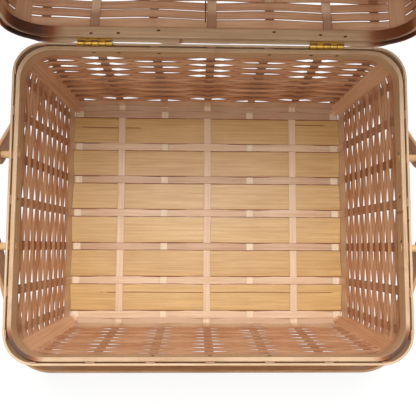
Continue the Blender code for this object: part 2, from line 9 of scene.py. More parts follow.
import bpy
import numpy as np
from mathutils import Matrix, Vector


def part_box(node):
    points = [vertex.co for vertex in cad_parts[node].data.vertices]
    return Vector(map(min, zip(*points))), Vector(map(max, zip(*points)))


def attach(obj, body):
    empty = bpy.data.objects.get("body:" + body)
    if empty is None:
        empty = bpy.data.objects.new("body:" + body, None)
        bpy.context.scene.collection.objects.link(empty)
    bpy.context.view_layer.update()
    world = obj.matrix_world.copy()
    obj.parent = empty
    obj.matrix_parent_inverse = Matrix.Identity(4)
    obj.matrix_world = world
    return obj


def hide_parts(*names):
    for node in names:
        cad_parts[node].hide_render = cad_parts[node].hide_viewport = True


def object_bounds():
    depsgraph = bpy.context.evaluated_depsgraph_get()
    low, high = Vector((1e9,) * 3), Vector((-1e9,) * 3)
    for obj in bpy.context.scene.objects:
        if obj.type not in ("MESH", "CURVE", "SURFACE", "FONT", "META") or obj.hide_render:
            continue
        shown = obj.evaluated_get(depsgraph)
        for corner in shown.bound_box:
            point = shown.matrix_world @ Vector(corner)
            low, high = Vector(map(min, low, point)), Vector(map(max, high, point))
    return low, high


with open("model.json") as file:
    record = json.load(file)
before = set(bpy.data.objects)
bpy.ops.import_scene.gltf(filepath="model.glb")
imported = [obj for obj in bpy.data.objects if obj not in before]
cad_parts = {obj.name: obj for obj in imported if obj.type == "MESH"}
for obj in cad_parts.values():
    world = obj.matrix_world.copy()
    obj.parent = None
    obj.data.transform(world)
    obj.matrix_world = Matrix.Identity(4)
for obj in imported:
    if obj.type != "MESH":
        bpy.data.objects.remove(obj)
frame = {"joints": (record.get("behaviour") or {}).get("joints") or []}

bl_info = {
    "name": "Pie Basket",
    "version": (1, 0, 0),
    "blender": (4, 5, 0),
    "location": "View3D > Sidebar > Pie Basket",
    "description": "Builds a woven pie basket with a hinged lid and two swing handles",
    "category": "Add Mesh",
}

CAD_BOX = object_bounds()
HINGE = next(joint for joint in frame["joints"] if joint["name"] == "lid_hinge")
MIDDLE_Y = sum(corner[1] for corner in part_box("inner_hoop")) / 2
MILLIMETRE = 0.001
SIDES = ("right", "back", "left", "front")
SLATS = range(1, 7)
SPLINTS = range(-3, 4)
# A side's stakes are counted from its middle. Its last one is beside the corner strip, and the
# middle of the corner lies half a count beyond it.
LAST_STAKE = 3
CORNER_PHASE = 3.5
# How much further apart the stakes stand at the rim than at the foot
STAKE_FAN = 0.04
# Where the stakes beside the corner strips stand, from the middle of their side, at the foot
# of the wall and at the rim: on the two long sides, and on the two ends
BASKET_CORNER_STAKES = ((0.1605, 0.1715), (0.1205, 0.1305))
LID_CORNER_STAKES = ((0.163, 0.167), (0.122, 0.128))
WEAVERS = 19
LID_STRIPS = 4
KNUCKLES = 5
CORNERS = (
    (1, 1, "back_right"), (-1, 1, "back_left"), (-1, -1, "front_left"), (1, -1, "front_right"),
)

# Seeds of the random tone and drift of each kind of piece
SLAT_SEED = 100
LONG_SEED = 200
CROSS_SEED = 300
CORNER_SEED = 400
BAND_SEED = 500
WEAVER_SEED = 600
RIM_SEED = 700
HANDLE_SEED = 800
PEG_SEED = 900
CORNER_STAKE_SEED = 950
LID_SEED = 1000

# Cracks and knots of the slats: start, end and place across in metres, and their darkness
SLAT_CRACKS = {
    6: ((-0.165, -0.085, 0.004, 0.8), (-0.129, -0.122, 0.004, 1.0), (0.108, 0.158, 0.010, 0.8),
        (0.119, 0.126, 0.010, 1.0)),
    1: ((-0.130, 0.165, 0.006, 0.6), (-0.137, -0.130, 0.006, 1.0)),
}

# Where the hoops' ends lap, as the distance round to the middle and its length, in metres,
# and the dark rings of their knots: distance round, width and darkness
OUTER_LAP = (1.330, 0.060)
INNER_LAP = (1.300, 0.055)
LID_OUTER_LAP = (0.350, 0.050)
LID_INNER_LAP = (1.100, 0.050)
OUTER_RINGS = ((1.296, 0.0012, 0.5), (0.62, 0.0012, 0.35))
INNER_RINGS = ((1.270, 0.0012, 0.7), (1.276, 0.001, 0.5), (0.33, 0.0012, 0.3), (0.9, 0.0012, 0.4))

# Burns of the steamed bends: corner (back right, back left, front left, front right), half
# length, darkness and the face that shows it
RIM_SCORCHES = ((2, 0.030, 0.9, "top"), (3, 0.030, 0.9, "top"))
LID_OUTER_SCORCHES = ((0, 0.040, 0.9, "inner"), (1, 0.045, 1, "inner"), (1, 0.035, 0.9, "top"))
LID_INNER_SCORCHES = ((0, 0.040, 0.7, "inner"), (1, 0.045, 0.9, "inner"))

# Where the lid's outer hoop dips towards the rim: distance round, half length and dip
LID_EDGE_DROPS = ((0.185, 0.022, 0.0011), (0.384, 0.013, 0.0011), (0.501, 0.022, 0.0011))

# Nails of the rim: side, place along it and depth below the top; and of the lid: along, up
RIM_NAILS = (
    ("back", -0.1196, 0.0045), ("back", -0.0945, 0.0045), ("back", -0.0533, 0.0045),
    ("back", 0.0600, 0.0045), ("back", 0.1028, 0.0045), ("back", 0.1295, 0.0045),
    ("left", 0.047, 0.006), ("left", 0.001, 0.006), ("left", -0.045, 0.006),
    ("right", 0.050, 0.006), ("right", 0.006, 0.006), ("right", -0.039, 0.006),
    ("front", -0.056, 0.006), ("front", 0.058, 0.006), ("front", 0.0, 0.006),
)
LID_NAILS = (
    (-0.1205, 0.0055), (-0.0935, 0.0062), (-0.0535, 0.0095), (0.0625, 0.0095), (0.1095, 0.0073),
    (0.1345, 0.0060),
)

# Where the lid's strips butt end to end, as side and phase, and the dark joint's width,
# thickness and how far it stands out
LID_BUTT = ("back", 0.11)
BUTT_WIDTH = 1.3 * MILLIMETRE
BUTT_THICKNESS = 0.5 * MILLIMETRE
BUTT_PROUD = 1 * MILLIMETRE

# Handles: which end of the basket, the angle they hang at, their body and half their worn bump
HANDLES = ((-1, -51.5, "front_handle", 0.009), (1, 41.5, "rear_handle", 0))
# A handle's end round its peg: height as a share of the end, and width as a share of the eye
HANDLE_EYE = ((1, 0.5), (0.8, 0.68), (0.4, 0.92), (0, 1), (-1, 1.04))
LEG_WIDTH = 1.04
LEG_STEPS = 8
BEND_STEPS = 12
# Where the crossbar's stations lie, as shares of its half length
CROSSBAR = (0.8, 0.6, 0.4, 0.25, 0.12, 0.05)
HANDLE_CORNER = 1.4 * MILLIMETRE
BUMP_DARKNESS, HANDLE_DARKNESS = 0.10, 0.02
# A peg's head: width as a share of its radius, and depth below its end as a share of its own
PEG_HEAD = ((0.93, 1), (1, 0.8), (1, 0.45), (0.88, 0.15), (0.6, 0))
# A nail's shank and head: radius, and place along it from under the head, in head radii
NAIL_PROFILE = ((0.45, -2), (0.45, -0.1), (1, -0.1), (1, 0.15), (0.8, 0.4), (0.35, 0.55))

# Lamps: name, place, power in watts and width in metres
LAMPS = (
    ("key", (0.0, 0.6, 1.9), 34, 0.8),
    ("fill", (-0.7, -0.7, 1.6), 4, 1.3),
    ("top", (0.2, -0.3, 1.9), 5, 1.4),
)
LAMP_AIM = (0, 0, 0.08)
WORLD_LEVEL = 0.42
# The floor reaches this far each way, and glows so that its far parts are white in the picture
FLOOR_REACH = 6
FLOOR_GLOW = 0.85
FLOOR_GAP = 0.2 * MILLIMETRE
FIBRE_SPACING = 4 * MILLIMETRE

# The camera's place from the middle of the basket, its turn in radians, and its lens in mm
CAMERA_PLACE = (-0.0162, -0.0525, 0.674)
CAMERA_TURN = (0.088, -0.0264, 0.0045)
LENS = 45
SENSOR = 36


def length(name, description, millimetres):
    return bpy.props.FloatProperty(
        name=name, description=description, default=millimetres * MILLIMETRE, unit="LENGTH",
        precision=4,
    )


def colour(name, description, code):
    return bpy.props.StringProperty(name=name, description=description, default=code)


class BasketSizes(bpy.types.PropertyGroup):
    """Sizes of the woven basket and its rim."""

    rim_length: length("Rim length", "Outer length of the basket's rim", 400)
    rim_depth: length("Rim depth", "Outer depth of the basket's rim, front to back", 320)
    rim_top: length("Rim height", "Height of the rim's top above the floor", 162)
    rim_radius: length("Rim corner", "Outer corner radius of the outer hoop", 32)
    hoop_height: length("Hoop height", "Height of the rim's two hoops", 16)
    outer_hoop: length("Outer hoop", "Thickness of the outer hoop", 2.4)
    inner_hoop: length("Inner hoop", "Thickness of the inner hoop", 4.5)
    inner_radius: length("Inner hoop corner", "Outer corner radius of the inner hoop", 34)
    splint: length("Splint thickness", "Thickness of splints and weavers", 0.9)
    gap: length("Seat gap", "Clearance between pieces that touch", 0.3)
    long_width: length("Long splint width", "Width of the splints that run along the basket", 9.5)
    cross_width: length("Cross splint width", "Width of the splints that run front to back", 9.3)
    base_length: length("Base length", "Length of the wall at the floor", 345)
    base_depth: length("Base depth", "Depth of the wall at the floor", 281)
    base_radius: length("Base corner", "Corner radius of the wall at the floor", 14)
    cross_pitch: length("Cross splint pitch", "Distance between the cross splints", 55.5)
    long_pitch: length("Long splint pitch", "Distance between the long splints", 43)
    slat: length("Slat thickness", "Thickness of the wide base slats", 1.2)
    slat_tuck: length("Slat tuck", "How far a slat reaches into the splints beside it", 0.4)
    slat_level: length("Slat level", "Height of the middle of the base slats", 3)
    band_bottom: length("Band foot", "Height of the wide band's lower edge", 5.1)
    band_height: length("Band height", "Height of the wide band round the foot", 17)
    wave: length("Weaver wave", "How far a weaver swings in and out of the stakes", 1.5)
    pinch: length("Weaver pinch", "How far two weavers close on each other at a stake", 1.1)
    corner_strip: length("Corner strip width", "Width of the flat strips in the corners", 17)
    corner_foot: length("Corner strip foot", "How far a corner strip lies on the base", 3)


class FittingSizes(bpy.types.PropertyGroup):
    """Sizes of the handles, pegs, hinges and nails."""

    peg_radius: length("Peg radius", "Radius of the dowel pegs", 3.75)
    peg_head: length("Peg head radius", "Radius of a peg's head", 5.8)
    peg_head_depth: length("Peg head depth", "Thickness of a peg's head", 2.5)
    peg_drop: length("Peg drop", "Distance of the pegs below the rim", 8)
    peg_spacing: length("Peg spacing", "Distance between the front and rear pegs", 92)
    standoff: length("Handle standoff", "Gap between the rim and a handle's leg", 9.5)
    handle: length("Handle thickness", "Thickness of the bent handles", 4)
    handle_drop: length("Handle length", "Distance from the pegs to the crossbar", 172)
    handle_radius: length("Handle corner", "Corner radius of the bent handles", 33)
    eye_width: length("Handle eye width", "Width of a leg at its peg", 20)
    grip_width: length("Handle grip width", "Width of the crossbar", 27)
    handle_end: length("Handle end", "How far a leg runs past its peg", 10)
    hinge_length: length("Hinge length", "Length of a brass hinge", 35)
    hinge_spacing: length("Hinge spacing", "Distance between the two hinges", 235)
    knuckle: length("Knuckle radius", "Radius of the hinge knuckles", 2.4)
    leaf: length("Leaf thickness", "Thickness of a hinge leaf", 0.9)
    leaf_depth: length("Leaf depth", "Depth of a hinge leaf in the rim", 9.5)
    nail: length("Nail head radius", "Radius of the small nail heads", 1.0)


class LidSizes(bpy.types.PropertyGroup):
    """Sizes of the lid, measured as it lies when closed."""

    bottom: length("Lid edge height", "Height of the closed lid's lower edge", 165)
    depth: length("Lid depth", "Height of the lid from its edge to its top", 55)
    hoop: length("Lid hoop height", "Height of the lid's outer hoop", 14)
    inner_hoop: length("Lid inner hoop height", "Height of the lid's inner hoop", 10.5)
    step: length("Lid hoop step", "How far the inner hoop sits up from the edge", 2.5)
    radius: length("Lid corner", "Outer corner radius of the lid's hoops", 36)
    lean: length("Lid lean", "How far the lid's walls lean in", 5.5)
    edge: length("Lid edge radius", "Radius of the bend round the lid's top", 8)
    strip: length("Lid strip pitch", "Distance between the strips of the lid's wall", 8.5)
    first_strip: length("Lid edge strip", "Height of the strip next to the lid's hoops", 11.3)
    cross_pitch: length("Lid stake pitch", "Distance between the stakes along the lid", 57)
    long_pitch: length("Lid side pitch", "Distance between the stakes of the lid's ends", 47.3)


class FinishColours(bpy.types.PropertyGroup):
    """Colours of the wood, brass and floor, as sRGB hex values."""

    hoop_pale: colour("Hoop, pale", "Lightest wood of the hoops", "D9BC98")
    hoop_deep: colour("Hoop, deep", "Grain of the hoops", "AC845E")
    splint_pale: colour("Splint, pale", "Lightest wood of the base splints", "E6CAAA")
    splint_deep: colour("Splint, deep", "Grain of the base splints", "C69C76")
    fresh_pale: colour("Fresh splint, pale", "Lightest wood of the newer cross splints", "ECD8BC")
    fresh_deep: colour("Fresh splint, deep", "Grain of the newer cross splints", "D8B894")
    slat_pale: colour("Slat, pale", "Lightest wood of the wide slats", "D4AD6C")
    slat_deep: colour("Slat, deep", "Grain of the wide slats", "AC7E3C")
    weaver_pale: colour("Weaver, pale", "Lightest wood of the weavers", "ECC49E")
    weaver_deep: colour("Weaver, deep", "Grain of the weavers", "BA8058")
    handle_pale: colour("Handle, pale", "Lightest wood of the handles", "DAB184")
    handle_deep: colour("Handle, deep", "Grain of the handles", "A0754C")
    peg_pale: colour("Peg, pale", "Lightest wood of the pegs", "E2BE90")
    peg_deep: colour("Peg, deep", "Grain of the pegs", "B0824F")
    # Stain and mark colours also paint shade: along the edges of strips and slats, under the slats,
    # on the stakes among the weavers and where strands close at a stake
    stain: colour("Stain", "Aged and handled edges, and stakes among the weavers", "874616")
    mark: colour("Knots and cracks", "Knots, cracks and burnt bends", "2A130A")
    brass: colour("Brass", "Metal of the hinges", "C09848")
    nail: colour("Nails", "Metal of the small nails", "5E4A36")
    floor: colour("Floor", "Floor and backdrop", "F4F2EE")


def sizes():
    return bpy.context.scene.basket_sizes


def wall_inset():
    """How far the middle of the wall lies inside the outer hoop's outer face."""
    return sizes().outer_hoop + sizes().gap + sizes().splint / 2


def inner_inset():
    """How far the inner hoop lies inside the outer hoop's outer face."""
    return sizes().outer_hoop + sizes().splint + 2 * sizes().gap


def weave_levels():
    """How far cross splints, and long splints over them, lie from the middle of the slats."""
    near = sizes().slat / 2 + sizes().gap + sizes().splint / 2
    return near, near + sizes().splint + sizes().gap


def fittings():
    return bpy.context.scene.basket_fittings


def lid_sizes():
    return bpy.context.scene.basket_lid


def meets_hinge(wall, index):
    """Whether a stake of the back wall stands where a hinge leaf is."""
    along = abs(float(wall.along("back", index, wall.high)))
    off_hinge = abs(along - fittings().hinge_spacing / 2)
    return off_hinge < (fittings().hinge_length + sizes().cross_width) / 2


def linear(code):
    """An sRGB hex value as a linear colour."""
    parts = [int(code[n:n + 2], 16) / 255 for n in (0, 2, 4)]
    return tuple(
        c / 12.92 if c <= 0.04045 else ((c + 0.055) / 1.055) ** 2.4 for c in parts
    ) + (1.0,)


def add_node(tree, kind, inputs=(), **settings):
    """Add a node with its settings. Each input is a socket with a source to link or a value."""
    made = tree.nodes.new(kind)
    for name, value in settings.items():
        setattr(made, name, value)
    for socket, source in inputs:
        if isinstance(source, bpy.types.NodeSocket):
            tree.links.new(made.inputs[socket], source)
        else:
            made.inputs[socket].default_value = source
    return made


def new_material(name, **values):
    """A material with constant values set on its shader's own sockets."""
    made = bpy.data.materials.new(name)
    made.use_nodes = True
    shader = made.node_tree.nodes["Principled BSDF"]
    for socket, value in values.items():
        shader.inputs[socket.replace("_", " ")].default_value = value
    return made, made.node_tree, shader


def noise(tree, place, scale, detail, roughness=0.5):
    return add_node(tree, "ShaderNodeTexNoise", [
        ("Vector", place), ("Scale", scale), ("Detail", detail), ("Roughness", roughness),
    ]).outputs["Fac"]


def ranged(tree, value, from_min=0, from_max=1, to_min=0, to_max=1):
    return add_node(tree, "ShaderNodeMapRange", [
        ("Value", value), ("From Min", from_min), ("From Max", from_max), ("To Min", to_min),
        ("To Max", to_max),
    ]).outputs[0]


def mixed(tree, share, first, second):
    return add_node(
        tree, "ShaderNodeMix", [(0, share), (6, first), (7, second)], data_type="RGBA",
    ).outputs[2]


def math_node(tree, operation, *values):
    return add_node(
        tree, "ShaderNodeMath", list(enumerate(values)), operation=operation,
    ).outputs[0]


def stretched(tree, place, factors):
    return add_node(
        tree, "ShaderNodeVectorMath", [(0, place), (1, factors)], operation="MULTIPLY",
    ).outputs[0]


def finish_shader(tree, shader, colour, roughness, height, strength, distance):
    """Link a material's colour, roughness and relief to its shader."""
    raised = add_node(tree, "ShaderNodeBump", [
        ("Height", height), ("Strength", strength), ("Distance", distance),
    ])
    tree.links.new(shader.inputs["Base Color"], colour)
    tree.links.new(shader.inputs["Roughness"], roughness)
    tree.links.new(shader.inputs["Normal"], raised.outputs[0])


# Year rings in a shaved splint lie about 2.5 mm apart and its pores about 0.35 mm. The pores
# are drawn at 0.6 mm so that they show. Both run on for forty times as far along the wood.
RING_SPACING = 2.5 * MILLIMETRE
PORE_SPACING = 0.6 * MILLIMETRE
GRAIN_STRETCH = 40
STAIN_SPACING = 45 * MILLIMETRE
# How much of the pores and of the broad stain shows beside the rings
PORE_SHARE = 0.5
STAIN_SHARE = 0.5
# The part of a noise in which nearly all its values lie
NOISE_LOW, NOISE_HIGH = 0.34, 0.68
# How far apart the grain of two pieces starts, in noise units
PIECE_SPACING = 50
ROUGHNESS_SPREAD = 0.08
WOOD_BUMP = 0.6

# Each wood: the colours it is made from, its roughness and coat, how much the grain and the
# tone of each piece differ, and the height of its relief in millimetres
WOODS = {
    # Shaved ash left bare: pale pinkish tan, with a soft sheen along the grain
    "shaved_ash_splint": ("splint", 0.55, 0.10, 0.45, 0.20, 0.15),
    # Cross splints cut from fresher ash: the palest strips of the base, nearly even
    "fresh_ash_splint": ("fresh", 0.55, 0.10, 0.40, 0.12, 0.12),
    # Sawn oak slats under worn varnish: yellower, with long bold grain
    "varnished_oak_slat": ("slat", 0.45, 0.22, 0.50, 0.15, 0.12),
    # Thin split ash darkened by age: warm brown and dry, each strand its own tone
    "aged_split_weaver": ("weaver", 0.60, 0.06, 0.45, 0.30, 0.15),
    # Steamed and bent ash hoop: pale sanded edges with fine grain round the rim
    "steamed_ash_hoop": ("hoop", 0.50, 0.15, 0.40, 0.12, 0.12),
    # Bent handle rubbed dark by hands: smooth and a little glossy
    "handled_bent_oak": ("handle", 0.42, 0.25, 0.55, 0.15, 0.12),
    # Turned birch dowel: even and pale with faint lines along it
    "turned_birch_dowel": ("peg", 0.48, 0.12, 0.30, 0.12, 0.08),
}

# Each metal: its colour, its roughness and the spacing of its scratches
METALS = {
    # Stamped brass: golden with a bright line along each knuckle
    "stamped_brass": ("brass", 0.28, 0.4 * MILLIMETRE),
    # Drawn steel nails: small dull grey-brown heads
    "drawn_steel_nail": ("nail", 0.42, 0.3 * MILLIMETRE),
}
# A rolled metal's scratches are this much longer than wide, and its film's patches this large
SCRATCH_STRETCH = 12
FILM_SPACING = 6 * MILLIMETRE
FILM_LOW, FILM_HIGH = 0.45, 0.75
FILM_DARKNESS = 0.45
METAL_BUMP = 0.3
SCRATCH_DEPTH = 0.05 * MILLIMETRE


def wood(name, kind, roughness, coat, contrast, tone, relief):
    """Wood whose grain follows each piece.

    The grain attribute holds the place along a piece, the place across it, the piece's own
    number and how dark a mark is, painted shade included: up to a half it takes the stain
    colour, and above that the colour of burns and cracks.
    """
    colours = bpy.context.scene.basket_colours
    made, tree, shader = new_material(name, IOR=1.5, Coat_Weight=coat, Coat_Roughness=0.35)
    grain = add_node(tree, "ShaderNodeAttribute", attribute_name="grain")
    place = add_node(tree, "ShaderNodeSeparateXYZ", [("Vector", grain.outputs["Vector"])])
    own = add_node(
        tree, "ShaderNodeTexWhiteNoise", [("W", place.outputs["Z"])], noise_dimensions="1D",
    )
    streaks = ranged(tree, own.outputs["Value"], to_min=-tone, to_max=tone)
    for spacing, share in ((RING_SPACING, contrast), (PORE_SPACING, contrast * PORE_SHARE)):
        scaled = stretched(
            tree, grain.outputs["Vector"],
            (1 / (spacing * GRAIN_STRETCH), 1 / spacing, PIECE_SPACING),
        )
        line = ranged(tree, noise(tree, scaled, 1, 3, 0.6), NOISE_LOW, NOISE_HIGH)
        streaks = math_node(tree, "MULTIPLY_ADD", line, share, streaks)
    where = add_node(tree, "ShaderNodeNewGeometry")
    stain = noise(tree, where.outputs["Position"], 1 / STAIN_SPACING, 3)
    level = math_node(tree, "MULTIPLY_ADD", stain, STAIN_SHARE, streaks)
    tint = mixed(
        tree, ranged(tree, level, from_max=0.4 + contrast * 1.4),
        linear(getattr(colours, f"{kind}_pale")), linear(getattr(colours, f"{kind}_deep")),
    )
    for shade, clear, full in ((colours.stain, 0, 0.5), (colours.mark, 0.5, 1)):
        dark = ranged(tree, grain.outputs["Alpha"], clear, full)
        tint = mixed(tree, dark, tint, linear(shade))
    rough = ranged(
        tree, streaks, to_min=roughness - ROUGHNESS_SPREAD, to_max=roughness + ROUGHNESS_SPREAD,
    )
    finish_shader(tree, shader, tint, rough, streaks, WOOD_BUMP, relief * MILLIMETRE)
    return made


def brushed_metal(name, kind, roughness, spacing):
    """Rolled or drawn metal with fine scratches and a duller film in patches."""
    bright = linear(getattr(bpy.context.scene.basket_colours, kind))
    made, tree, shader = new_material(name, Metallic=1.0)
    where = add_node(tree, "ShaderNodeNewGeometry").outputs["Position"]
    factors = (1 / (spacing * SCRATCH_STRETCH), 1 / spacing, 1 / spacing)
    scratches = noise(tree, stretched(tree, where, factors), 1, 2)
    film = ranged(tree, noise(tree, where, 1 / FILM_SPACING, 3), FILM_LOW, FILM_HIGH)
    dull = tuple(channel * FILM_DARKNESS for channel in bright[:3]) + (1,)
    rough = ranged(tree, scratches, to_min=roughness - 0.1, to_max=roughness + 0.15)
    tint = mixed(tree, film, bright, dull)
    finish_shader(tree, shader, tint, rough, scratches, METAL_BUMP, SCRATCH_DEPTH)
    return made


def finish_material(kind):
    """The material of a kind of piece, made when it is first asked for."""
    found = bpy.data.materials.get(kind)
    if found:
        return found
    if kind in WOODS:
        return wood(kind, *WOODS[kind])
    return brushed_metal(kind, *METALS[kind])


class Wall:
    """A woven wall: a rounded rectangle that grows with its height above the woven panel."""

    def __init__(self, low, high, foot, head, cross_pitch, long_pitch, corner_stakes):
        self.low = low
        self.high = high
        self.foot = np.array(foot)
        self.head = np.array(head)
        self.cross_pitch = cross_pitch
        self.long_pitch = long_pitch
        self.corner_stakes = corner_stakes

    def share(self, height):
        return np.clip((height - self.low) / (self.high - self.low), 0, 1)

    def outline(self, height):
        """Half length, half depth and corner radius at a height."""
        return self.foot + (self.head - self.foot) * self.share(height)

    def along(self, side, index, height):
        """How far along its side a stake stands from the middle."""
        is_end = side in ("left", "right")
        pitch = self.long_pitch if is_end else self.cross_pitch
        fan = 1 + STAKE_FAN * self.share(height)
        if abs(index) <= LAST_STAKE - 1:
            return index * pitch * fan
        low, high = self.corner_stakes[is_end]
        second = 2 * pitch * fan
        third = low + (high - low) * self.share(height)
        return math.copysign(second + (third - second) * (abs(index) - 2), index)

    def point(self, side, phase, height, bulge):
        """A point of the wall. The phase counts stakes along a side, with 3.5 at a corner."""
        half_x, half_y, radius = self.outline(height)
        half_along, half_out = (half_y, half_x) if side in ("left", "right") else (half_x, half_y)
        straight = half_along - radius
        run = abs(self.along(side, min(abs(phase), LAST_STAKE), height))
        past = max(run - straight, 0)
        run += max(math.asin(past / radius) * radius - past, 0)
        if abs(phase) > LAST_STAKE:
            run += (straight + radius * math.pi / 4 - run) * (abs(phase) - LAST_STAKE) * 2
        if run < straight:
            place, out = run, half_out + bulge
        else:
            turn = (run - straight) / radius
            place = straight + (radius + bulge) * math.sin(turn)
            out = half_out - radius + (radius + bulge) * math.cos(turn)
        place = math.copysign(place, phase)
        return {
            "right": (out, place, height),
            "back": (-place, out, height),
            "left": (-out, -place, height),
            "front": (place, -out, height),
        }[side]


def to_basket(points):
    """From the basket's own middle to the scene."""
    return np.asarray(points, float) + (0, MIDDLE_Y, 0)


def to_lid(points):
    """From the lid's weave, measured down from its top when closed, to the open lid."""
    points = np.asarray(points, float)
    return closed_to_open(np.stack([
        points[..., 0], points[..., 1], lid_sizes().bottom + lid_sizes().depth - points[..., 2],
    ], axis=-1))


def closed_to_open(points):
    """From the closed lid, measured from the basket's middle, to where the lid stands open."""
    points = np.asarray(points, float)
    pin_y, pin_z = HINGE["pos_m"][1], HINGE["pos_m"][2]
    y = points[..., 1] + MIDDLE_Y - pin_y
    z = points[..., 2] - pin_z
    return np.stack([points[..., 0], pin_y + z, pin_z - y], axis=-1)


def rounded(half_u, half_v, corner, arc):
    """Points round the four corners of a rectangle, with each corner drawn as an arc."""
    points = []
    for quarter, (side_u, side_v) in enumerate(((1, 1), (-1, 1), (-1, -1), (1, -1))):
        for step in range(arc + 1):
            turn = math.pi / 2 * (quarter + step / arc)
            points.append((
                side_u * (half_u - corner) + corner * math.cos(turn),
                side_v * (half_v - corner) + corner * math.sin(turn),
            ))
    return points


def section(width, thickness, corner, arc):
    """A rounded bar's outline: places across it and out of its face."""
    return rounded(width / 2, thickness / 2, min(corner, thickness * 0.48), arc)


# How far in from its edge a strip gets painted shade, and the weight of each point of its section
EDGE_SHADE = 1.1 * MILLIMETRE
EDGE_WEIGHTS = np.array((1, 1, 0, 0, 1, 1, 1, 1, 0, 0, 1, 1))


def strip_section(width, thickness):
    """A flat strip's outline, with points on both faces where its painted edge shade fades out."""
    soft = 0.3 * thickness
    points = []
    for way in (1, -1):
        edge, face = way * width / 2, way * thickness / 2
        inner = way * (width / 2 - EDGE_SHADE)
        points += [(edge, way * soft), (edge - way * soft, face), (inner, face)]
        points += [(-inner, face), (soft * way - edge, face), (-edge, way * soft)]
    return points


def loft(low, high, outlines, seed, closed=False, marks=None):
    """A strip between two edge lines, with the outline of each station swept along them.

    Gives its points, faces and the grain of each face corner.
    """
    low = np.asarray(low, float)
    high = np.asarray(high, float)
    outlines = np.asarray(outlines, float)
    count = len(low)
    if outlines.ndim == 2:
        outlines = np.broadcast_to(outlines, (count,) + outlines.shape)
    per = outlines.shape[1]
    middle = (low + high) / 2
    if closed:
        tangent = np.roll(middle, -1, axis=0) - np.roll(middle, 1, axis=0)
    else:
        tangent = np.gradient(middle, axis=0)
    across = high - low
    across /= np.linalg.norm(across, axis=1)[:, None]
    normal = np.cross(tangent, across)
    normal /= np.linalg.norm(normal, axis=1)[:, None]
    points = (
        middle[:, None]
        + across[:, None] * outlines[:, :, :1]
        + normal[:, None] * outlines[:, :, 1:]
    ).reshape(-1, 3)
    steps = np.linalg.norm(np.diff(middle, axis=0, append=middle[:1]), axis=1)
    place = np.concatenate([[0], np.cumsum(steps)])
    if marks is None:
        marks = np.zeros((count, per))
    marks = np.broadcast_to(np.asarray(marks, float).reshape(count, -1), (count, per))
    spans = count if closed else count - 1
    i, j = np.meshgrid(np.arange(spans), np.arange(per), indexing="ij")
    faces = []
    grain = []
    for di, dj in ((0, 0), (1, 0), (1, 1), (0, 1)):
        row = (i + di) % count
        column = (j + dj) % per
        faces.append(row * per + column)
        grain.append(np.stack([
            place[i + di], outlines[row, column, 0], np.full(i.shape, seed), marks[row, column],
        ], axis=-1))
    faces = np.stack(faces, axis=-1).reshape(-1, 4).tolist()
    grain = np.stack(grain, axis=2).reshape(-1, 4)
    if not closed:
        for row, order in ((0, range(per)), (count - 1, range(per - 1, -1, -1))):
            faces.append([row * per + column for column in order])
            grain = np.concatenate([grain, [
                (place[row], outlines[row, column, 0], seed, marks[row, column]) for column in order
            ]])
    return points, faces, grain


def turned(profile, centre, axis, seed, segments=32):
    """A turned shape: a profile of (radius, place along the axis) pairs, closed at both ends."""
    axis = Vector(axis).normalized()
    side = axis.orthogonal().normalized()
    other = axis.cross(side)
    rows = [(radius, place) for radius, place in profile if radius > 0]
    points = []
    for radius, place in rows:
        for step in range(segments):
            turn = 2 * math.pi * step / segments
            out = side * math.cos(turn) + other * math.sin(turn)
            points.append(Vector(centre) + axis * place + out * radius)
    faces = []
    grain = []
    for row in range(len(rows) - 1):
        for step in range(segments):
            corners = ((row, step), (row, step + 1), (row + 1, step + 1), (row + 1, step))
            faces.append([level * segments + turn % segments for level, turn in corners])
            grain += [
                (rows[level][1], 2 * math.pi * rows[level][0] * turn / segments, seed, 0)
                for level, turn in corners
            ]
    for row, order in ((0, range(segments - 1, -1, -1)), (len(rows) - 1, range(segments))):
        faces.append([row * segments + step for step in order])
        grain += [(rows[row][1], rows[row][0] * math.cos(step), seed, 0) for step in order]
    return np.array([tuple(point) for point in points]), faces, np.array(grain)


def facing_out(points, faces):
    """Whether a closed skin's faces look outwards, by the sign of its volume."""
    volume = 0
    for face in faces:
        a = points[face[0]]
        for n in range(1, len(face) - 1):
            volume += np.dot(a, np.cross(points[face[n]], points[face[n + 1]]))
    return volume > 0


def add_piece(name, chunks, finish, body, nodes):
    """Join skins into one piece, give it its finish and say what it stands for."""
    all_points = []
    all_faces = []
    all_grain = []
    offset = 0
    for points, faces, grain in chunks:
        if not facing_out(points, faces):
            starts = np.cumsum([0] + [len(face) for face in faces])
            order = np.concatenate([
                np.arange(end - 1, start - 1, -1) for start, end in zip(starts, starts[1:])
            ])
            faces = [list(reversed(face)) for face in faces]
            grain = grain[order]
        all_points.append(points)
        all_faces += [[vertex + offset for vertex in face] for face in faces]
        all_grain.append(grain)
        offset += len(points)
    mesh = bpy.data.meshes.new(name)
    mesh.from_pydata(np.concatenate(all_points).tolist(), [], all_faces)
    attribute = mesh.attributes.new("grain", "FLOAT_COLOR", "CORNER")
    attribute.data.foreach_set("color", np.concatenate(all_grain).astype(np.float32).ravel())
    mesh.shade_smooth()
    mesh.set_sharp_from_angle(angle=math.radians(50))
    mesh.materials.append(finish_material(finish))
    piece = bpy.data.objects.new(name, mesh)
    bpy.context.scene.collection.objects.link(piece)
    weighted = piece.modifiers.new("Flat faces stay flat", "WEIGHTED_NORMAL")
    weighted.keep_sharp = True
    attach(piece, body)
    if nodes:
        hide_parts(*nodes)
    return piece


def basket_wall():
    """The basket's wall, from the base to the foot of the hoops."""
    size = sizes()
    inset = wall_inset()
    return Wall(
        size.splint / 2, size.rim_top - size.hoop_height,
        (size.base_length / 2, size.base_depth / 2, size.base_radius),
        (size.rim_length / 2 - inset, size.rim_depth / 2 - inset, size.rim_radius - inset),
        size.cross_pitch, size.long_pitch, BASKET_CORNER_STAKES,
    )


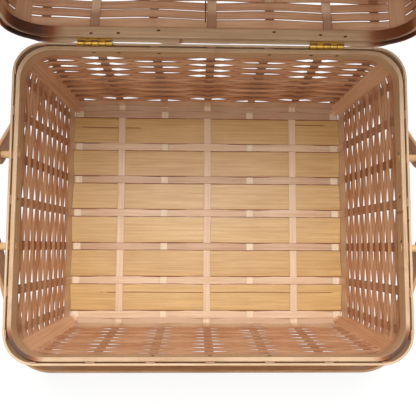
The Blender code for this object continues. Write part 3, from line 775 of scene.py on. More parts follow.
def lid_wall():
    """The lid's wall, measured down from its top as the lid lies closed."""
    size, lid = sizes(), lid_sizes()
    inset = wall_inset()
    head = (size.rim_length / 2 - inset, size.rim_depth / 2 - inset, lid.radius - inset)
    return Wall(
        0, lid.depth - lid.hoop - size.gap, [value - lid.lean for value in head], head,
        lid.cross_pitch, lid.long_pitch, LID_CORNER_STAKES,
    )


def smooth(value):
    value = np.clip(value, 0, 1)
    return value * value * (3 - 2 * value)


def bent(points, radii, steps=6):
    """A line of points with its corners bent: each corner's radius is its reach along the line."""
    points = [Vector(point) for point in points]
    line = [points[0]]
    for before, corner, after, reach in zip(points, points[1:], points[2:], radii):
        back = (before - corner).normalized() * min(reach, (before - corner).length * 0.49)
        on = (after - corner).normalized() * min(reach, (after - corner).length * 0.49)
        for step in range(steps + 1):
            share = step / steps
            line.append(corner + back * (1 - share) ** 2 + on * share ** 2)
    line.append(points[-1])
    return np.array([tuple(point) for point in line])


def refined(line, spacing):
    """The same line with points no further apart than the spacing."""
    fine = [line[0]]
    for start, end in zip(line, line[1:]):
        count = max(int(np.linalg.norm(end - start) / spacing), 1)
        fine += [start + (end - start) * step / count for step in range(1, count + 1)]
    return np.array(fine)


# Stations of a strand from one stake to the next
UNIT_STEPS = 14

# How much darker a stake is than the base splint it turns up from, partly its own tone and
# partly painted shade of the weave round it, from what height, and over what height it turns dark
STAKE_TONE_AND_SHADE = 0.30
STAKE_DARK_FROM = 0.020
STAKE_FADE = 4 * MILLIMETRE
# How much painted shade darkens the edges of weavers and splints, where they shade each other in
# the weave
WEAVER_EDGE_SHADE = 0.24
SPLINT_EDGE_SHADE = 0.10
# How open the weave is at the stakes of each side, and how far it swings in and out there
OPENNESS = {"right": 0.65, "back": 1.7, "left": 0.65, "front": 0.25}
SWING = {"right": 0.7, "back": 1.0, "left": 0.7, "front": 0.5}
# A strand's thickness in splints, so that the gaps look as narrow as in the photo
WEAVER_THICKNESS = 1.4
# A strand's own drift up and down and in and out, in millimetres, and how near to the middle
# of a span it may start to close on its pair, in spans
STRAND_LIFT = 0.22
STRAND_SWING = 0.12
CLOSING_START = 0.26
CLOSING_POWER = 1.3
# Painted shade on a strand where it closes on its pair at a stake
CLOSING_SHADE = 0.12
# The wide band is stiff and takes only this share of the wave
BAND_SWELL = 0.6
# The gap between the lid's strips, and how little they close on each other at a stake
LID_STRIP_GAP = 0.75 * MILLIMETRE
LID_PINCH = 0.1 * MILLIMETRE
# How dark the strips at the edges of the base and those inside the corners are
EDGE_FILLER_DARKNESS = 0.16
CORNER_DARKNESS = 0.06
# Lengthways splints cut from redder wood, and how much redder
RED_SPLINTS = {-1: 0.12, 1: 0.12, 3: 0.16}
# How far a cross splint waves, how long the bend from base to stake is for each kind of
# splint, and how long the small bend at the foot of the hoops
CROSS_WAVE = 0.2 * MILLIMETRE
CROSS_BEND = 5 * MILLIMETRE
LONG_BEND = 7 * MILLIMETRE
HOOP_BEND = 4 * MILLIMETRE
# How long a corner strip's bend at its foot is, and over what length its toe widens
CORNER_BEND = 5 * MILLIMETRE
CORNER_TAPER = 16 * MILLIMETRE


def blend(values, station):
    """A value between two stations of a ring, eased from one to the next."""
    first = int(station) % len(values)
    part = smooth(station - int(station))
    return values[first] * (1 - part) + values[(first + 1) % len(values)] * part


def weaver_round(wall, low, high, inside_even, pinch, seed, place, swell=1):
    """One strand round a wall, in front of and behind the stakes by turns.

    Two strands of a pair close on each other at every stake, one inside it and one outside,
    most of all on the back. Swell is the share of the full wave, for a stiffer strand.
    """
    size = sizes()
    rng = np.random.default_rng(seed)
    spans = len(SPLINTS)
    stations = spans * len(SIDES)
    lift = rng.uniform(-STRAND_LIFT, STRAND_LIFT, stations) * MILLIMETRE
    swing = rng.uniform(-STRAND_SWING, STRAND_SWING, stations) * MILLIMETRE
    # How near to the middle of a span a strand starts to close, before and after each stake
    start = rng.uniform(0.0, CLOSING_START, (stations, 2))
    stake = 1 if inside_even else -1
    low_line = []
    high_line = []
    marks = []
    for number, side in enumerate(SIDES):
        for step in range(spans * UNIT_STEPS):
            phase = -CORNER_PHASE + step / UNIT_STEPS
            station = number * spans + phase + CORNER_PHASE
            beyond = phase - (math.floor(phase) + 0.5)
            opens = start[int(station) % stations, int(beyond > 0)]
            closing = max((abs(beyond) - opens) / (0.5 - opens), 0) ** CLOSING_POWER
            wave = math.cos(math.pi * phase) * -stake
            if abs(phase) > LAST_STAKE:
                wave = stake + (1 - stake) * float(smooth((abs(phase) - LAST_STAKE) * 2))
            shift = blend(lift, station) + pinch * closing * OPENNESS[side]
            bulge = size.wave * wave * swell * SWING[side] + blend(swing, station)
            low_line.append(wall.point(side, phase, low + shift, bulge))
            high_line.append(wall.point(side, phase, high + shift, bulge))
            marks.append(CLOSING_SHADE * closing)
    marks = np.array(marks)[:, None] + WEAVER_EDGE_SHADE * EDGE_WEIGHTS
    outline = strip_section(high - low, size.splint * WEAVER_THICKNESS)
    return loft(place(low_line), place(high_line), outline, seed, closed=True, marks=marks)


def splint(wall, axis, index, level, wave, top_back, top_front, bend, seed, place):
    """A splint that weaves through the panel and stands up as a stake at both ends.

    The stakes are as dark as the weavers where they stand among them: partly their own tone,
    and partly painted shade of the weave.
    """
    size = sizes()
    pitch = wall.cross_pitch if axis == "long" else wall.long_pitch
    offset = index * (wall.long_pitch if axis == "long" else wall.cross_pitch)
    width = size.long_width if axis == "long" else size.cross_width
    ends = abs(index) == LAST_STAKE
    reach = LAST_STAKE * pitch + (width / 2 + 2 * MILLIMETRE if ends else 0)
    count = int(2 * reach / (3 * MILLIMETRE))
    base = []
    for step in range(count + 1):
        run = -reach + 2 * reach * step / count
        height = level + wave * math.cos(math.pi * run / pitch)
        base.append((offset, run, height) if axis == "cross" else (run, offset, height))
    if ends:
        line = np.array(base)
    else:
        side = "back" if axis == "cross" else "right"

        def wall_point(height, way):
            along = float(wall.along(side, index, height))
            out = float(wall.outline(height)[1 if axis == "cross" else 0])
            return (along, way * out, height) if axis == "cross" else (way * out, along, height)

        foot = level if axis == "cross" else base[0][2]
        front = [*(wall_point(height, -1) for height in (top_front, wall.high, foot)), base[0]]
        back = [base[-1], *(wall_point(height, 1) for height in (foot, wall.high, top_back))]
        bends = (HOOP_BEND, bend)
        line = np.concatenate([
            bent(front, bends), np.array(base[1:-1]), bent(back, bends[::-1]),
        ])
        line = refined(line, 8 * MILLIMETRE)
    across = np.array((width / 2, 0, 0) if axis == "cross" else (0, width / 2, 0))
    outline = strip_section(width, size.splint)
    marks = STAKE_TONE_AND_SHADE * smooth((line[:, 2] - STAKE_DARK_FROM) / STAKE_FADE)
    if axis == "long":
        marks = marks + RED_SPLINTS.get(index, 0)
    marks = marks[:, None] + SPLINT_EDGE_SHADE * EDGE_WEIGHTS
    return loft(place(line - across), place(line + across), outline, seed, marks=marks)


def long_splint(wall, index, top, bend, seed, place):
    """A splint along the basket, which turns up in the two end walls."""
    far = weave_levels()[1]
    return splint(wall, "long", index, sizes().slat_level, far, top, top, bend, seed, place)


def cross_splint(wall, index, top, hinge_top, bend, seed, place):
    """A splint across the basket, which turns up in the front and back walls.

    It passes over and under the slats by turns, and ends lower where a hinge leaf is.
    """
    near = weave_levels()[0]
    level = sizes().slat_level + (near if index % 2 == 0 else -near)
    back = hinge_top if meets_hinge(wall, index) else top
    return splint(wall, "cross", index, level, CROSS_WAVE, back, top, bend, seed, place)


def upright(wall, side, phase, low, top, width, thickness, bulge, dark, seed, place):
    """A straight upright strip of the wall, such as a stake beside a corner strip."""
    near = []
    far = []
    for height in np.linspace(low, top, 16):
        before = np.array(wall.point(side, phase - math.copysign(0.1, phase), height, bulge))
        after = np.array(wall.point(side, phase, height, bulge))
        half = (after - before) / np.linalg.norm(after - before) * width / 2
        near.append(after - half)
        far.append(after + half)
    outline = section(width, thickness, 0.3 * thickness, 1)
    return loft(place(near), place(far), outline, seed, marks=np.full(16, dark))


def corner_stakes(wall, low, top, seed, place):
    """The two stakes of each side that stand beside the corner strips."""
    size = sizes()
    return [
        upright(
            wall, side, end * LAST_STAKE, low, top, size.cross_width, size.splint, 0,
            STAKE_TONE_AND_SHADE, seed + 2 * number + end, place,
        )
        for number, side in enumerate(SIDES) for end in (-1, 1)
    ]


# A slat's crack is a groove of this half width. The slat's edges, its underside and the last
# bit of its top get painted shade, and the wood beside a crack is darker.
GROOVE = 0.35 * MILLIMETRE
SLAT_STATIONS = 180
SLAT_EDGE_SHADE, SLAT_UNDER_SHADE, SLAT_RIM_SHADE = 0.7, 0.3, 0.55
CRACK_HALO = 0.25
CRACK_FADE = 6 * MILLIMETRE
# How far the slats of the base run on under the wall, and those of the lid's top
SLAT_END = 1.6 * MILLIMETRE
LID_SLAT_END = 0.5 * MILLIMETRE


def slat(wall, number, half_length, seed, place, cracks=()):
    """A wide slat, with a split or knot where it has one. They are counted from 1 to 6.

    A crack is (start, end, place across, depth of colour); a knot is a crack as wide as long.
    """
    size = sizes()
    rng = np.random.default_rng(seed)
    width = wall.long_pitch - size.long_width + 2 * size.slat_tuck
    middle = (number - 3.5) * wall.long_pitch
    run = np.linspace(-half_length, half_length, SLAT_STATIONS)
    top = [width / 2 - 0.4 * MILLIMETRE, width / 2 - size.slat_tuck - 1.3 * MILLIMETRE]
    for spot in sorted({round(across, 5) for _, _, across, _ in cracks}, reverse=True):
        top += [spot + share * GROOVE for share in (3, 1, 0, -1, -3)]
    top += [-width / 2 + size.slat_tuck + 1.3 * MILLIMETRE, -width / 2 + 0.4 * MILLIMETRE]
    half = size.slat / 2
    outlines = []
    marks = []
    wander = np.interp(run, np.linspace(-half_length, half_length, 9), rng.uniform(-1, 1, 9))
    for x, drift in zip(run, wander):
        row = [(width / 2, half * 0.4)]
        mark = [SLAT_EDGE_SHADE]
        for across in top:
            depth = 0
            # Painted shade along the last bit of the top, where the slat tucks under the splint
            # beside it
            dark = SLAT_RIM_SHADE if abs(across) > width / 2 - 0.5 * MILLIMETRE else 0
            for start, end, spot, colour_depth in cracks:
                inside = smooth(min(x - start, end - x) / CRACK_FADE)
                near = abs(across - spot)
                if near < 0.5 * GROOVE:
                    depth = max(depth, inside * half)
                    dark = max(dark, inside * colour_depth)
                elif near < 1.5 * GROOVE:
                    dark = max(dark, inside * colour_depth * CRACK_HALO)
            shift = drift * 0.5 * MILLIMETRE if abs(across) < width / 2 - MILLIMETRE else 0
            row.append((across + shift, half - depth))
            mark.append(dark)
        # Painted shade on the slat's edges and underside
        row += [(-width / 2, half * 0.4), (-width / 2, -half), (width / 2, -half)]
        mark += [SLAT_EDGE_SHADE, SLAT_UNDER_SHADE, SLAT_UNDER_SHADE]
        outlines.append(row)
        marks.append(mark)
    low = level_line(run, middle - width / 2, size.slat_level)
    return loft(place(low), place(low + (0, width, 0)), outlines, seed, marks=marks)


def level_line(run, y, height):
    """A line along X at one place across and one height."""
    return np.stack([run, np.full_like(run, y), np.full_like(run, height)], axis=-1)


def edge_filler(wall, way, seed, place):
    """A narrow strip that fills the panel's long edge, notched for the stakes under it."""
    size = sizes()
    inner = LAST_STAKE * wall.long_pitch + size.long_width / 2 - 0.8 * MILLIMETRE
    half_x, half_y, radius = wall.outline(wall.low)
    half_length = half_x - 1 * MILLIMETRE - 0.45 * radius
    outer = half_y + 2 * MILLIMETRE
    run = np.linspace(-half_length, half_length, 240)
    from_stake = np.abs((run / wall.cross_pitch) % 2 - 1) * wall.cross_pitch
    notch = 1 - smooth((from_stake - size.cross_width / 2) / (0.5 * MILLIMETRE))
    outlines = [
        [(u + width / 2, v) for u, v in section(width, size.splint, 0.3 * MILLIMETRE, 1)]
        for width in outer - inner - 2 * MILLIMETRE * notch
    ]
    low = level_line(run, way * inner - 0.5 * MILLIMETRE * way, size.slat_level)
    high = low + (0, way * MILLIMETRE, 0)
    return loft(
        place(low), place(high), outlines, seed, marks=np.full(len(run), EDGE_FILLER_DARKNESS),
    )


def corner_strip(wall, side_x, side_y, top, seed, place):
    """A wide flat strip inside a corner, from a short foot on the panel to under a hoop."""
    size = sizes()
    foot_height = size.slat_level + weave_levels()[0]
    width = size.corner_strip
    out = np.array([side_x, side_y]) / math.sqrt(2)

    def seat(height):
        half_x, half_y, radius = wall.outline(height) + size.wave - size.splint / 2
        along = math.sqrt((radius - size.gap) ** 2 - (width / 2) ** 2) - size.splint / 2
        return np.array([(half_x - radius) * side_x, (half_y - radius) * side_y]) + out * along

    foot = seat(foot_height)
    line = refined(bent([
        (*(foot - out * size.corner_foot), foot_height), (*foot, foot_height), (*seat(top), top),
    ], (CORNER_BEND,), 8), 6 * MILLIMETRE)
    across = np.array([-side_y, side_x, 0]) / math.sqrt(2) * width / 2
    from_toe = np.concatenate([[0], np.cumsum(np.linalg.norm(np.diff(line, axis=0), axis=1))])
    outlines = np.array([
        strip_section(width * float(share), size.splint)
        for share in 0.5 + 0.5 * smooth(from_toe / CORNER_TAPER)
    ])
    marks = np.full(len(line), CORNER_DARKNESS)[:, None] + SPLINT_EDGE_SHADE * EDGE_WEIGHTS
    return loft(place(line - across), place(line + across), outlines, seed, marks=marks)


def corner_strips(wall, top, seed, place):
    """The strips inside the four corners, in the order of CORNERS."""
    return [
        corner_strip(wall, side_x, side_y, top, seed + number, place)
        for number, (side_x, side_y, _) in enumerate(CORNERS)
    ]


def rounded_rectangle(half_x, half_y, radius, steps, spacing):
    """Points round a rectangle with round corners, from the middle of its right side."""
    start = (half_x, 0)
    points = [start, *rounded(half_x, half_y, radius, steps), start]
    return refined(np.array(points), spacing)[:-1]


class BASKET_OT_slats(bpy.types.Operator):
    """Build the six wide slats that fill the base"""

    bl_idname = "basket.slats"
    bl_label = "Base Slats"

    def execute(self, context):
        size = sizes()
        wall = basket_wall()
        half_length = size.base_length / 2 + SLAT_END
        for number in SLATS:
            chunk = slat(
                wall, number, half_length, SLAT_SEED + number, to_basket,
                SLAT_CRACKS.get(number, ()),
            )
            add_piece(
                f"slat_{number}", [chunk], "varnished_oak_slat", "basket",
                [f"base_slat_{number}"],
            )
        return {"FINISHED"}


class BASKET_OT_splints(bpy.types.Operator):
    """Weave the splints of the base, which turn up as the wall's stakes"""

    bl_idname = "basket.splints"
    bl_label = "Splints and Stakes"

    def execute(self, context):
        size = sizes()
        wall = basket_wall()
        top = size.rim_top - size.gap
        for number, index in enumerate(SPLINTS, 1):
            chunks = [long_splint(wall, index, top, LONG_BEND, LONG_SEED + number, to_basket)]
            if abs(index) == LAST_STAKE:
                chunks.append(edge_filler(
                    wall, index // LAST_STAKE, LONG_SEED + 20 + number, to_basket,
                ))
            add_piece(
                f"lengthways_{number}", chunks, "shaved_ash_splint", "basket",
                [f"long_splint_{number}"],
            )
        hinge_top = size.rim_top - fittings().leaf_depth - 2 * size.gap
        for number, index in enumerate(SPLINTS, 1):
            chunk = cross_splint(
                wall, index, top, hinge_top, CROSS_BEND, CROSS_SEED + number, to_basket,
            )
            finish = "fresh_ash_splint" if index % 2 else "shaved_ash_splint"
            add_piece(
                f"crossways_{number}", [chunk], finish, "basket", [f"cross_splint_{number}"],
            )
        return {"FINISHED"}


class BASKET_OT_corner_strips(bpy.types.Operator):
    """Set the wide flat strips and the stakes beside them inside the four corners"""

    bl_idname = "basket.corner_strips"
    bl_label = "Corner Strips"

    def execute(self, context):
        size = sizes()
        wall = basket_wall()
        strips = corner_strips(wall, wall.high - size.gap, CORNER_SEED, to_basket)
        for chunk, (_, _, place) in zip(strips, CORNERS):
            add_piece(
                f"corner_{place}", [chunk], "aged_split_weaver", "basket",
                [f"corner_strip_{place}"],
            )
        stakes = corner_stakes(
            wall, size.band_bottom, size.rim_top - size.gap, CORNER_STAKE_SEED, to_basket,
        )
        add_piece("corner_stakes", stakes, "shaved_ash_splint", "basket", [])
        return {"FINISHED"}


class BASKET_OT_weavers(bpy.types.Operator):
    """Weave the wide band and the nineteen narrow strands round the wall"""

    bl_idname = "basket.weavers"
    bl_label = "Wall Weavers"

    def execute(self, context):
        size = sizes()
        wall = basket_wall()
        low = size.band_bottom
        top = low + size.band_height
        band = weaver_round(
            wall, low, top - size.gap, False, 0, BAND_SEED, to_basket, BAND_SWELL,
        )
        add_piece(
            "wide_band", [band], "shaved_ash_splint", "basket", ["wide_bottom_band"],
        )
        pitch = (wall.high - top) / WEAVERS
        for number in range(WEAVERS):
            low = top + number * pitch
            pinch = 0 if number == 0 else size.pinch * (1 if number % 2 else -1)
            chunk = weaver_round(
                wall, low, low + pitch - size.gap, number % 2 == 0, pinch,
                WEAVER_SEED + number, to_basket,
            )
            add_piece(
                f"weaver_{number + 1}", [chunk], "aged_split_weaver", "basket",
                [f"wall_weaver_{number + 1}"],
            )
        return {"FINISHED"}


def corner_places(half_x, half_y, radius):
    """How far round a hoop its four corners' middles lie, from the middle of its right side."""
    quarter = radius * math.pi / 2
    across, along = 2 * (half_x - radius), 2 * (half_y - radius)
    first = along / 2 + quarter / 2
    return [first, first + across + quarter, first + across + along + 2 * quarter,
            first + 2 * across + along + 3 * quarter]


# A hoop's lapped end is this share of its thickness, and as dark as this where it stops
LAP_TIP = 0.14
LAP_DARKNESS = 0.5
LAP_GAP = 0.03 * MILLIMETRE
HOOP_EDGE = 0.9 * MILLIMETRE


def hoop_skin(
    half_x, half_y, radius, thickness, low, high, seed, lap, place, rings=(), scorches=(),
    drops=(),
):
    """A bent hoop whose two thinned ends lap over each other.

    The lap is (distance round to its middle, its length). A ring is a dark line across it:
    (distance round, half its width, darkness). A scorch is the burn of a steamed bend:
    (corner, half its length, darkness, "inner" or "top"). A drop lowers the hoop's edge:
    (distance round, half its length, how far).
    """
    core = [value - thickness / 2 for value in (half_x, half_y, radius)]
    line = rounded_rectangle(*core, 10, 5 * MILLIMETRE)
    steps = np.linalg.norm(np.diff(line, axis=0, append=line[:1]), axis=1)
    distances = np.concatenate([[0], np.cumsum(steps)])[:-1]
    total = steps.sum()
    middle, length_of_lap = lap
    start = middle - length_of_lap / 2
    runs = np.linspace(start, start + total + length_of_lap, int(total / (4 * MILLIMETRE)))
    centre = np.stack([
        np.interp(runs % total, np.append(distances, total), np.append(values, values[0]))
        for values in line.T
    ], axis=-1)
    tangent = np.gradient(centre, axis=0)
    tangent /= np.linalg.norm(tangent, axis=1)[:, None]
    out = np.stack([tangent[:, 1], -tangent[:, 0]], axis=-1)
    from_start = np.clip((runs - start) / length_of_lap, 0, 1)
    from_end = np.clip((start + total + length_of_lap - runs) / length_of_lap, 0, 1)
    full = np.minimum(from_start, from_end) * (1 - LAP_TIP) + LAP_TIP
    thick = thickness * np.minimum(full, 1)
    shift = (thickness - thick) / 2
    inwards = -shift - LAP_GAP * (from_end < 1)
    centre = centre + out * np.where(from_start < 1, shift, inwards)[:, None]

    def apart(distance):
        """How far each station is from a place round the hoop, the shorter way."""
        return np.abs((runs - distance + total / 2) % total - total / 2)

    marks = np.zeros(len(runs))
    for distance, width, dark in rings:
        marks = np.maximum(marks, dark * np.clip(1 - apart(distance) / width, 0, 1))
    marks = np.maximum(marks, LAP_DARKNESS * ((from_start < 0.03) | (from_end < 0.03)))
    lower = np.full(len(runs), float(low))
    for distance, half, drop in drops:
        lower -= drop * smooth((half - apart(distance)) / (6 * MILLIMETRE))
    low_line = np.column_stack([centre, lower])
    high_line = np.column_stack([centre, np.full(len(runs), high)])
    outlines = np.array([
        section(high - bottom, float(t), min(HOOP_EDGE, float(t) * 0.45), 3)
        for t, bottom in zip(thick, lower)
    ])
    marks = np.repeat(marks[:, None], outlines.shape[1], axis=1)
    up, outwards = outlines[:, :, 0], outlines[:, :, 1]
    faces = {
        "inner": outwards < 0,
        "top": (up > (high - low) * 0.42) & (outwards > -0.4 * thickness),
    }
    corners = corner_places(*core)
    for corner, half, dark, face in scorches:
        burn = smooth((half - apart(corners[corner])) / (half * 0.7))[:, None]
        marks = np.maximum(marks, dark * burn * faces[face])
    return loft(place(low_line), place(high_line), outlines, seed, marks=marks)


def nail(centre, axis, seed):
    """A small domed head on a short shank, hammered over into an oval."""
    head = fittings().nail
    profile = [(radius * head, place * head) for radius, place in NAIL_PROFILE]
    points, faces, grain = turned(profile, centre, axis, seed, 20)
    if abs(axis[0]) > 0.5:
        along = np.array(Vector(axis).orthogonal().normalized())
    else:
        along = np.array(Vector((1, 0, 0.25)).normalized())
    spread = (points - np.array(centre)) @ along
    return points + spread[:, None] * along, faces, grain


def add_hoop(name, node, inset, radius, thickness, low, high, seed, lap, place, **marks):
    """Bend one hoop of the rim or of the lid, as far inside the rim as the inset says."""
    half_x, half_y = sizes().rim_length / 2 - inset, sizes().rim_depth / 2 - inset
    skin = hoop_skin(half_x, half_y, radius, thickness, low, high, seed, lap, place, **marks)
    body = "lid" if node.startswith("lid") else "basket"
    return add_piece(name, [skin], "steamed_ash_hoop", body, [node])


def inner_faces():
    """How far the inner hoops' inner faces are from the basket's middle, along X and Y."""
    inset = inner_inset() + sizes().inner_hoop
    return sizes().rim_length / 2 - inset, sizes().rim_depth / 2 - inset


class BASKET_OT_rim(bpy.types.Operator):
    """Bend the two hoops of the rim and nail them through the stakes"""

    bl_idname = "basket.rim"
    bl_label = "Rim Hoops"

    def execute(self, context):
        size = sizes()
        low = size.rim_top - size.hoop_height
        outer_piece = add_hoop(
            "rim_outside", "outer_hoop", 0, size.rim_radius, size.outer_hoop, low, size.rim_top,
            RIM_SEED, OUTER_LAP, to_basket, rings=OUTER_RINGS,
        )
        add_hoop(
            "rim_inside", "inner_hoop", inner_inset(), size.inner_radius, size.inner_hoop, low,
            size.rim_top, RIM_SEED + 1, INNER_LAP, to_basket, rings=INNER_RINGS,
            scorches=RIM_SCORCHES,
        )
        face_x, face_y = inner_faces()
        nails = []
        for side, along, below in RIM_NAILS:
            height = size.rim_top - below
            centre, axis = {
                "back": ((along, face_y, height), (0, -1, 0)),
                "front": ((along, -face_y, height), (0, 1, 0)),
                "left": ((-face_x, along, height), (1, 0, 0)),
                "right": ((face_x, along, height), (-1, 0, 0)),
            }[side]
            nails.append(nail(to_basket(centre), axis, len(nails)))
        add_piece("rim_nails", nails, "drawn_steel_nail", "basket", [])
        relieve(outer_piece, context)
        return {"FINISHED"}


def rod(radius, start, end, centre):
    """A plain rod along X, for boring or hollowing, from one place to another."""
    return turned([(radius, start), (radius, end)], centre, (1, 0, 0), 0)


def relieve(piece, context):
    """Cut the hollows that clear the hinges' knuckles."""
    fitting, gap = fittings(), sizes().gap
    half = fitting.hinge_length / 2 + gap
    for side in (-1, 1):
        centre = (side * fitting.hinge_spacing / 2, HINGE["pos_m"][1], HINGE["pos_m"][2])
        cut_with(piece, rod(fitting.knuckle + gap, -half, half, centre), context)


def cut_with(piece, skin, context):
    """Cut a skin's space out of a piece."""
    points, faces, _ = skin
    mesh = bpy.data.meshes.new("cutting_tool")
    mesh.from_pydata(points.tolist(), [], [list(face) for face in faces])
    if not facing_out(points, faces):
        mesh.flip_normals()
    tool = bpy.data.objects.new("cutting_tool", mesh)
    context.scene.collection.objects.link(tool)
    cut = piece.modifiers.new("Cut", "BOOLEAN")
    cut.operation = "DIFFERENCE"
    cut.solver = "EXACT"
    cut.object = tool
    depsgraph = context.evaluated_depsgraph_get()
    piece.modifiers.move(len(piece.modifiers) - 1, 0)
    depsgraph.update()
    result = bpy.data.meshes.new_from_object(piece.evaluated_get(depsgraph), depsgraph=depsgraph)
    old = piece.data
    piece.modifiers.remove(cut)
    piece.data = result
    result.name = piece.name
    bpy.data.meshes.remove(old)
    bpy.data.objects.remove(tool)
    bpy.data.meshes.remove(mesh)


def handle_path(leg_x):
    """Half of a handle's middle line, from a leg's end to near the middle of the crossbar.

    Each station is (place along X, height over the pegs, half the width).
    """
    fitting = fittings()
    straight = fitting.handle_drop - fitting.handle_radius
    eye, grip, end = fitting.eye_width / 2, fitting.grip_width / 2, fitting.handle_end
    path = [(leg_x, end * height, eye * width) for height, width in HANDLE_EYE]
    for step in range(1, LEG_STEPS + 1):
        share = step / LEG_STEPS
        width = eye * LEG_WIDTH + (grip - eye * LEG_WIDTH) * float(smooth(share))
        path.append((leg_x, -end - (straight - end) * share, width))
    for step in range(1, BEND_STEPS + 1):
        turn = math.pi / 2 * step / BEND_STEPS
        path.append((
            leg_x - fitting.handle_radius * (1 - math.cos(turn)),
            -straight - fitting.handle_radius * math.sin(turn), grip,
        ))
    crossbar = leg_x - fitting.handle_radius
    return path + [(crossbar * share, -fitting.handle_drop, grip) for share in CROSSBAR]


def peg_profile(near, far):
    """A dowel peg from its inner end to its head, as radii and places along it."""
    fitting = fittings()
    radius, depth = fitting.peg_radius, fitting.peg_head_depth
    return [
        (radius * 0.8, near), (radius, near + 0.4 * MILLIMETRE), (radius, far - depth),
    ] + [(fitting.peg_head * width, far - depth * below) for width, below in PEG_HEAD]


class BASKET_OT_handles(bpy.types.Operator):
    """Bend the two swing handles and turn the four pegs that carry them"""

    bl_idname = "basket.handles"
    bl_label = "Handles and Pegs"

    def execute(self, context):
        size, fitting = sizes(), fittings()
        half = handle_path(size.rim_length / 2 + fitting.standoff + fitting.handle / 2)
        path = half + [(-x, z, width) for x, z, width in reversed(half)]
        outlines = [section(2 * width, fitting.handle, HANDLE_CORNER, 4) for _, _, width in path]
        bend_top = fitting.handle_radius - fitting.handle_drop
        reach = size.rim_length / 2 + 4 * fitting.standoff
        for end, angle, name, bump in HANDLES:
            pivot = np.array((
                0, MIDDLE_Y + end * fitting.peg_spacing / 2, size.rim_top - fitting.peg_drop,
            ))
            turn = math.radians(angle)

            def swing(x, y, z):
                return pivot + np.array((
                    x, y * math.cos(turn) - z * math.sin(turn),
                    y * math.sin(turn) + z * math.cos(turn),
                ))

            low = [swing(x, -width, z) for x, z, width in path]
            high = [swing(x, width, z) for x, z, width in path]
            marks = [
                [BUMP_DARKNESS if abs(x) < bump and z < bend_top else HANDLE_DARKNESS]
                * len(outlines[0]) for x, z, _ in path
            ]
            skin = loft(low, high, outlines, HANDLE_SEED + end, marks=marks)
            bail = add_piece(f"{name}_bail", [skin], "handled_bent_oak", name, [name])
            cut_with(bail, rod(fitting.peg_radius + size.gap, -reach, reach, pivot), context)
            place = "front" if end < 0 else "rear"
            for side, side_name in ((-1, "left"), (1, "right")):
                node = f"peg_{place}_{side_name}"
                near, far = sorted(abs(corner[0]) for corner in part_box(node))
                peg = turned(
                    peg_profile(near, far), (0, *pivot[1:]), (side, 0, 0),
                    PEG_SEED + side + 3 * end, 36,
                )
                add_piece(
                    f"dowel_{place}_{side_name}", [peg], "turned_birch_dowel", "basket", [node],
                )
        return {"FINISHED"}


# A hinge's leaves and knuckles have this softening, and its pin this radius and length beyond
LEAF_CORNER = 0.2 * MILLIMETRE
KNUCKLE_LIP = 0.25 * MILLIMETRE
PIN_RADIUS = 1.1 * MILLIMETRE
PIN_TIP = 0.6 * MILLIMETRE
PIN_POINT = 0.6


def leaf_skin(start, end, middle, half, low, high, seed):
    """A thin brass leaf with softened edges, lying across Y."""
    run = np.linspace(start, end, 8)
    outline = section(high - low, 2 * half, LEAF_CORNER, 2)
    lower = level_line(run, middle, low)
    return loft(lower, lower + (0, 0, high - low), outline, seed)


def lid_side_of(chunks):
    """Hinge parts of the basket's side, mirrored to the side of the open lid."""
    pin_y, pin_z = HINGE["pos_m"][1], HINGE["pos_m"][2]
    return [
        (np.stack([
            points[:, 0], pin_y - (points[:, 2] - pin_z), pin_z - (points[:, 1] - pin_y),
        ], axis=-1), faces, grain)
        for points, faces, grain in chunks
    ]


class BASKET_OT_hinges(bpy.types.Operator):
    """Roll the knuckles of the two brass hinges round their pins"""

    bl_idname = "basket.hinges"
    bl_label = "Brass Hinges"

    def execute(self, context):
        size, fitting = sizes(), fittings()
        pin_y, pin_z = HINGE["pos_m"][1], HINGE["pos_m"][2]
        pin = (0, pin_y, pin_z)
        leaf_y = MIDDLE_Y + size.rim_depth / 2 - wall_inset()
        pitch = fitting.hinge_length / KNUCKLES
        radius, half = fitting.knuckle, fitting.leaf / 2
        low = pin_z - ((lid_sizes().bottom - size.rim_top) / 2 + fitting.leaf_depth)
        high = pin_z - radius - size.gap
        for side, side_name in ((-1, "left"), (1, "right")):
            start = side * fitting.hinge_spacing / 2 - fitting.hinge_length / 2
            end = start + fitting.hinge_length
            for lid_side in (False, True):
                chunks = [leaf_skin(start, end, leaf_y, half, low, high, 1)]
                for number in range(1 if lid_side else 0, KNUCKLES, 2):
                    first = start + number * pitch + size.gap / 2
                    last = first + pitch - size.gap
                    chunks.append(leaf_skin(
                        first, last, leaf_y, half * 0.9, high - LEAF_CORNER, pin_z - radius * 0.55,
                        2,
                    ))
                    chunks.append(turned([
                        (radius - KNUCKLE_LIP, first), (radius, first + KNUCKLE_LIP),
                        (radius, last - KNUCKLE_LIP), (radius - KNUCKLE_LIP, last),
                    ], pin, (1, 0, 0), number, 36))
                if lid_side:
                    chunks = lid_side_of(chunks)
                else:
                    point = PIN_RADIUS * PIN_POINT
                    chunks.append(turned([
                        (point, start - PIN_TIP), (PIN_RADIUS, start - PIN_TIP / 2),
                        (PIN_RADIUS, end + PIN_TIP / 2), (point, end + PIN_TIP),
                    ], pin, (1, 0, 0), 9, 24))
                body = "lid" if lid_side else "basket"
                add_piece(
                    f"hinge_{body}_{side_name}", chunks, "stamped_brass", body,
                    [f"hinge_{body}_leaf_{side_name}"],
                )
        return {"FINISHED"}


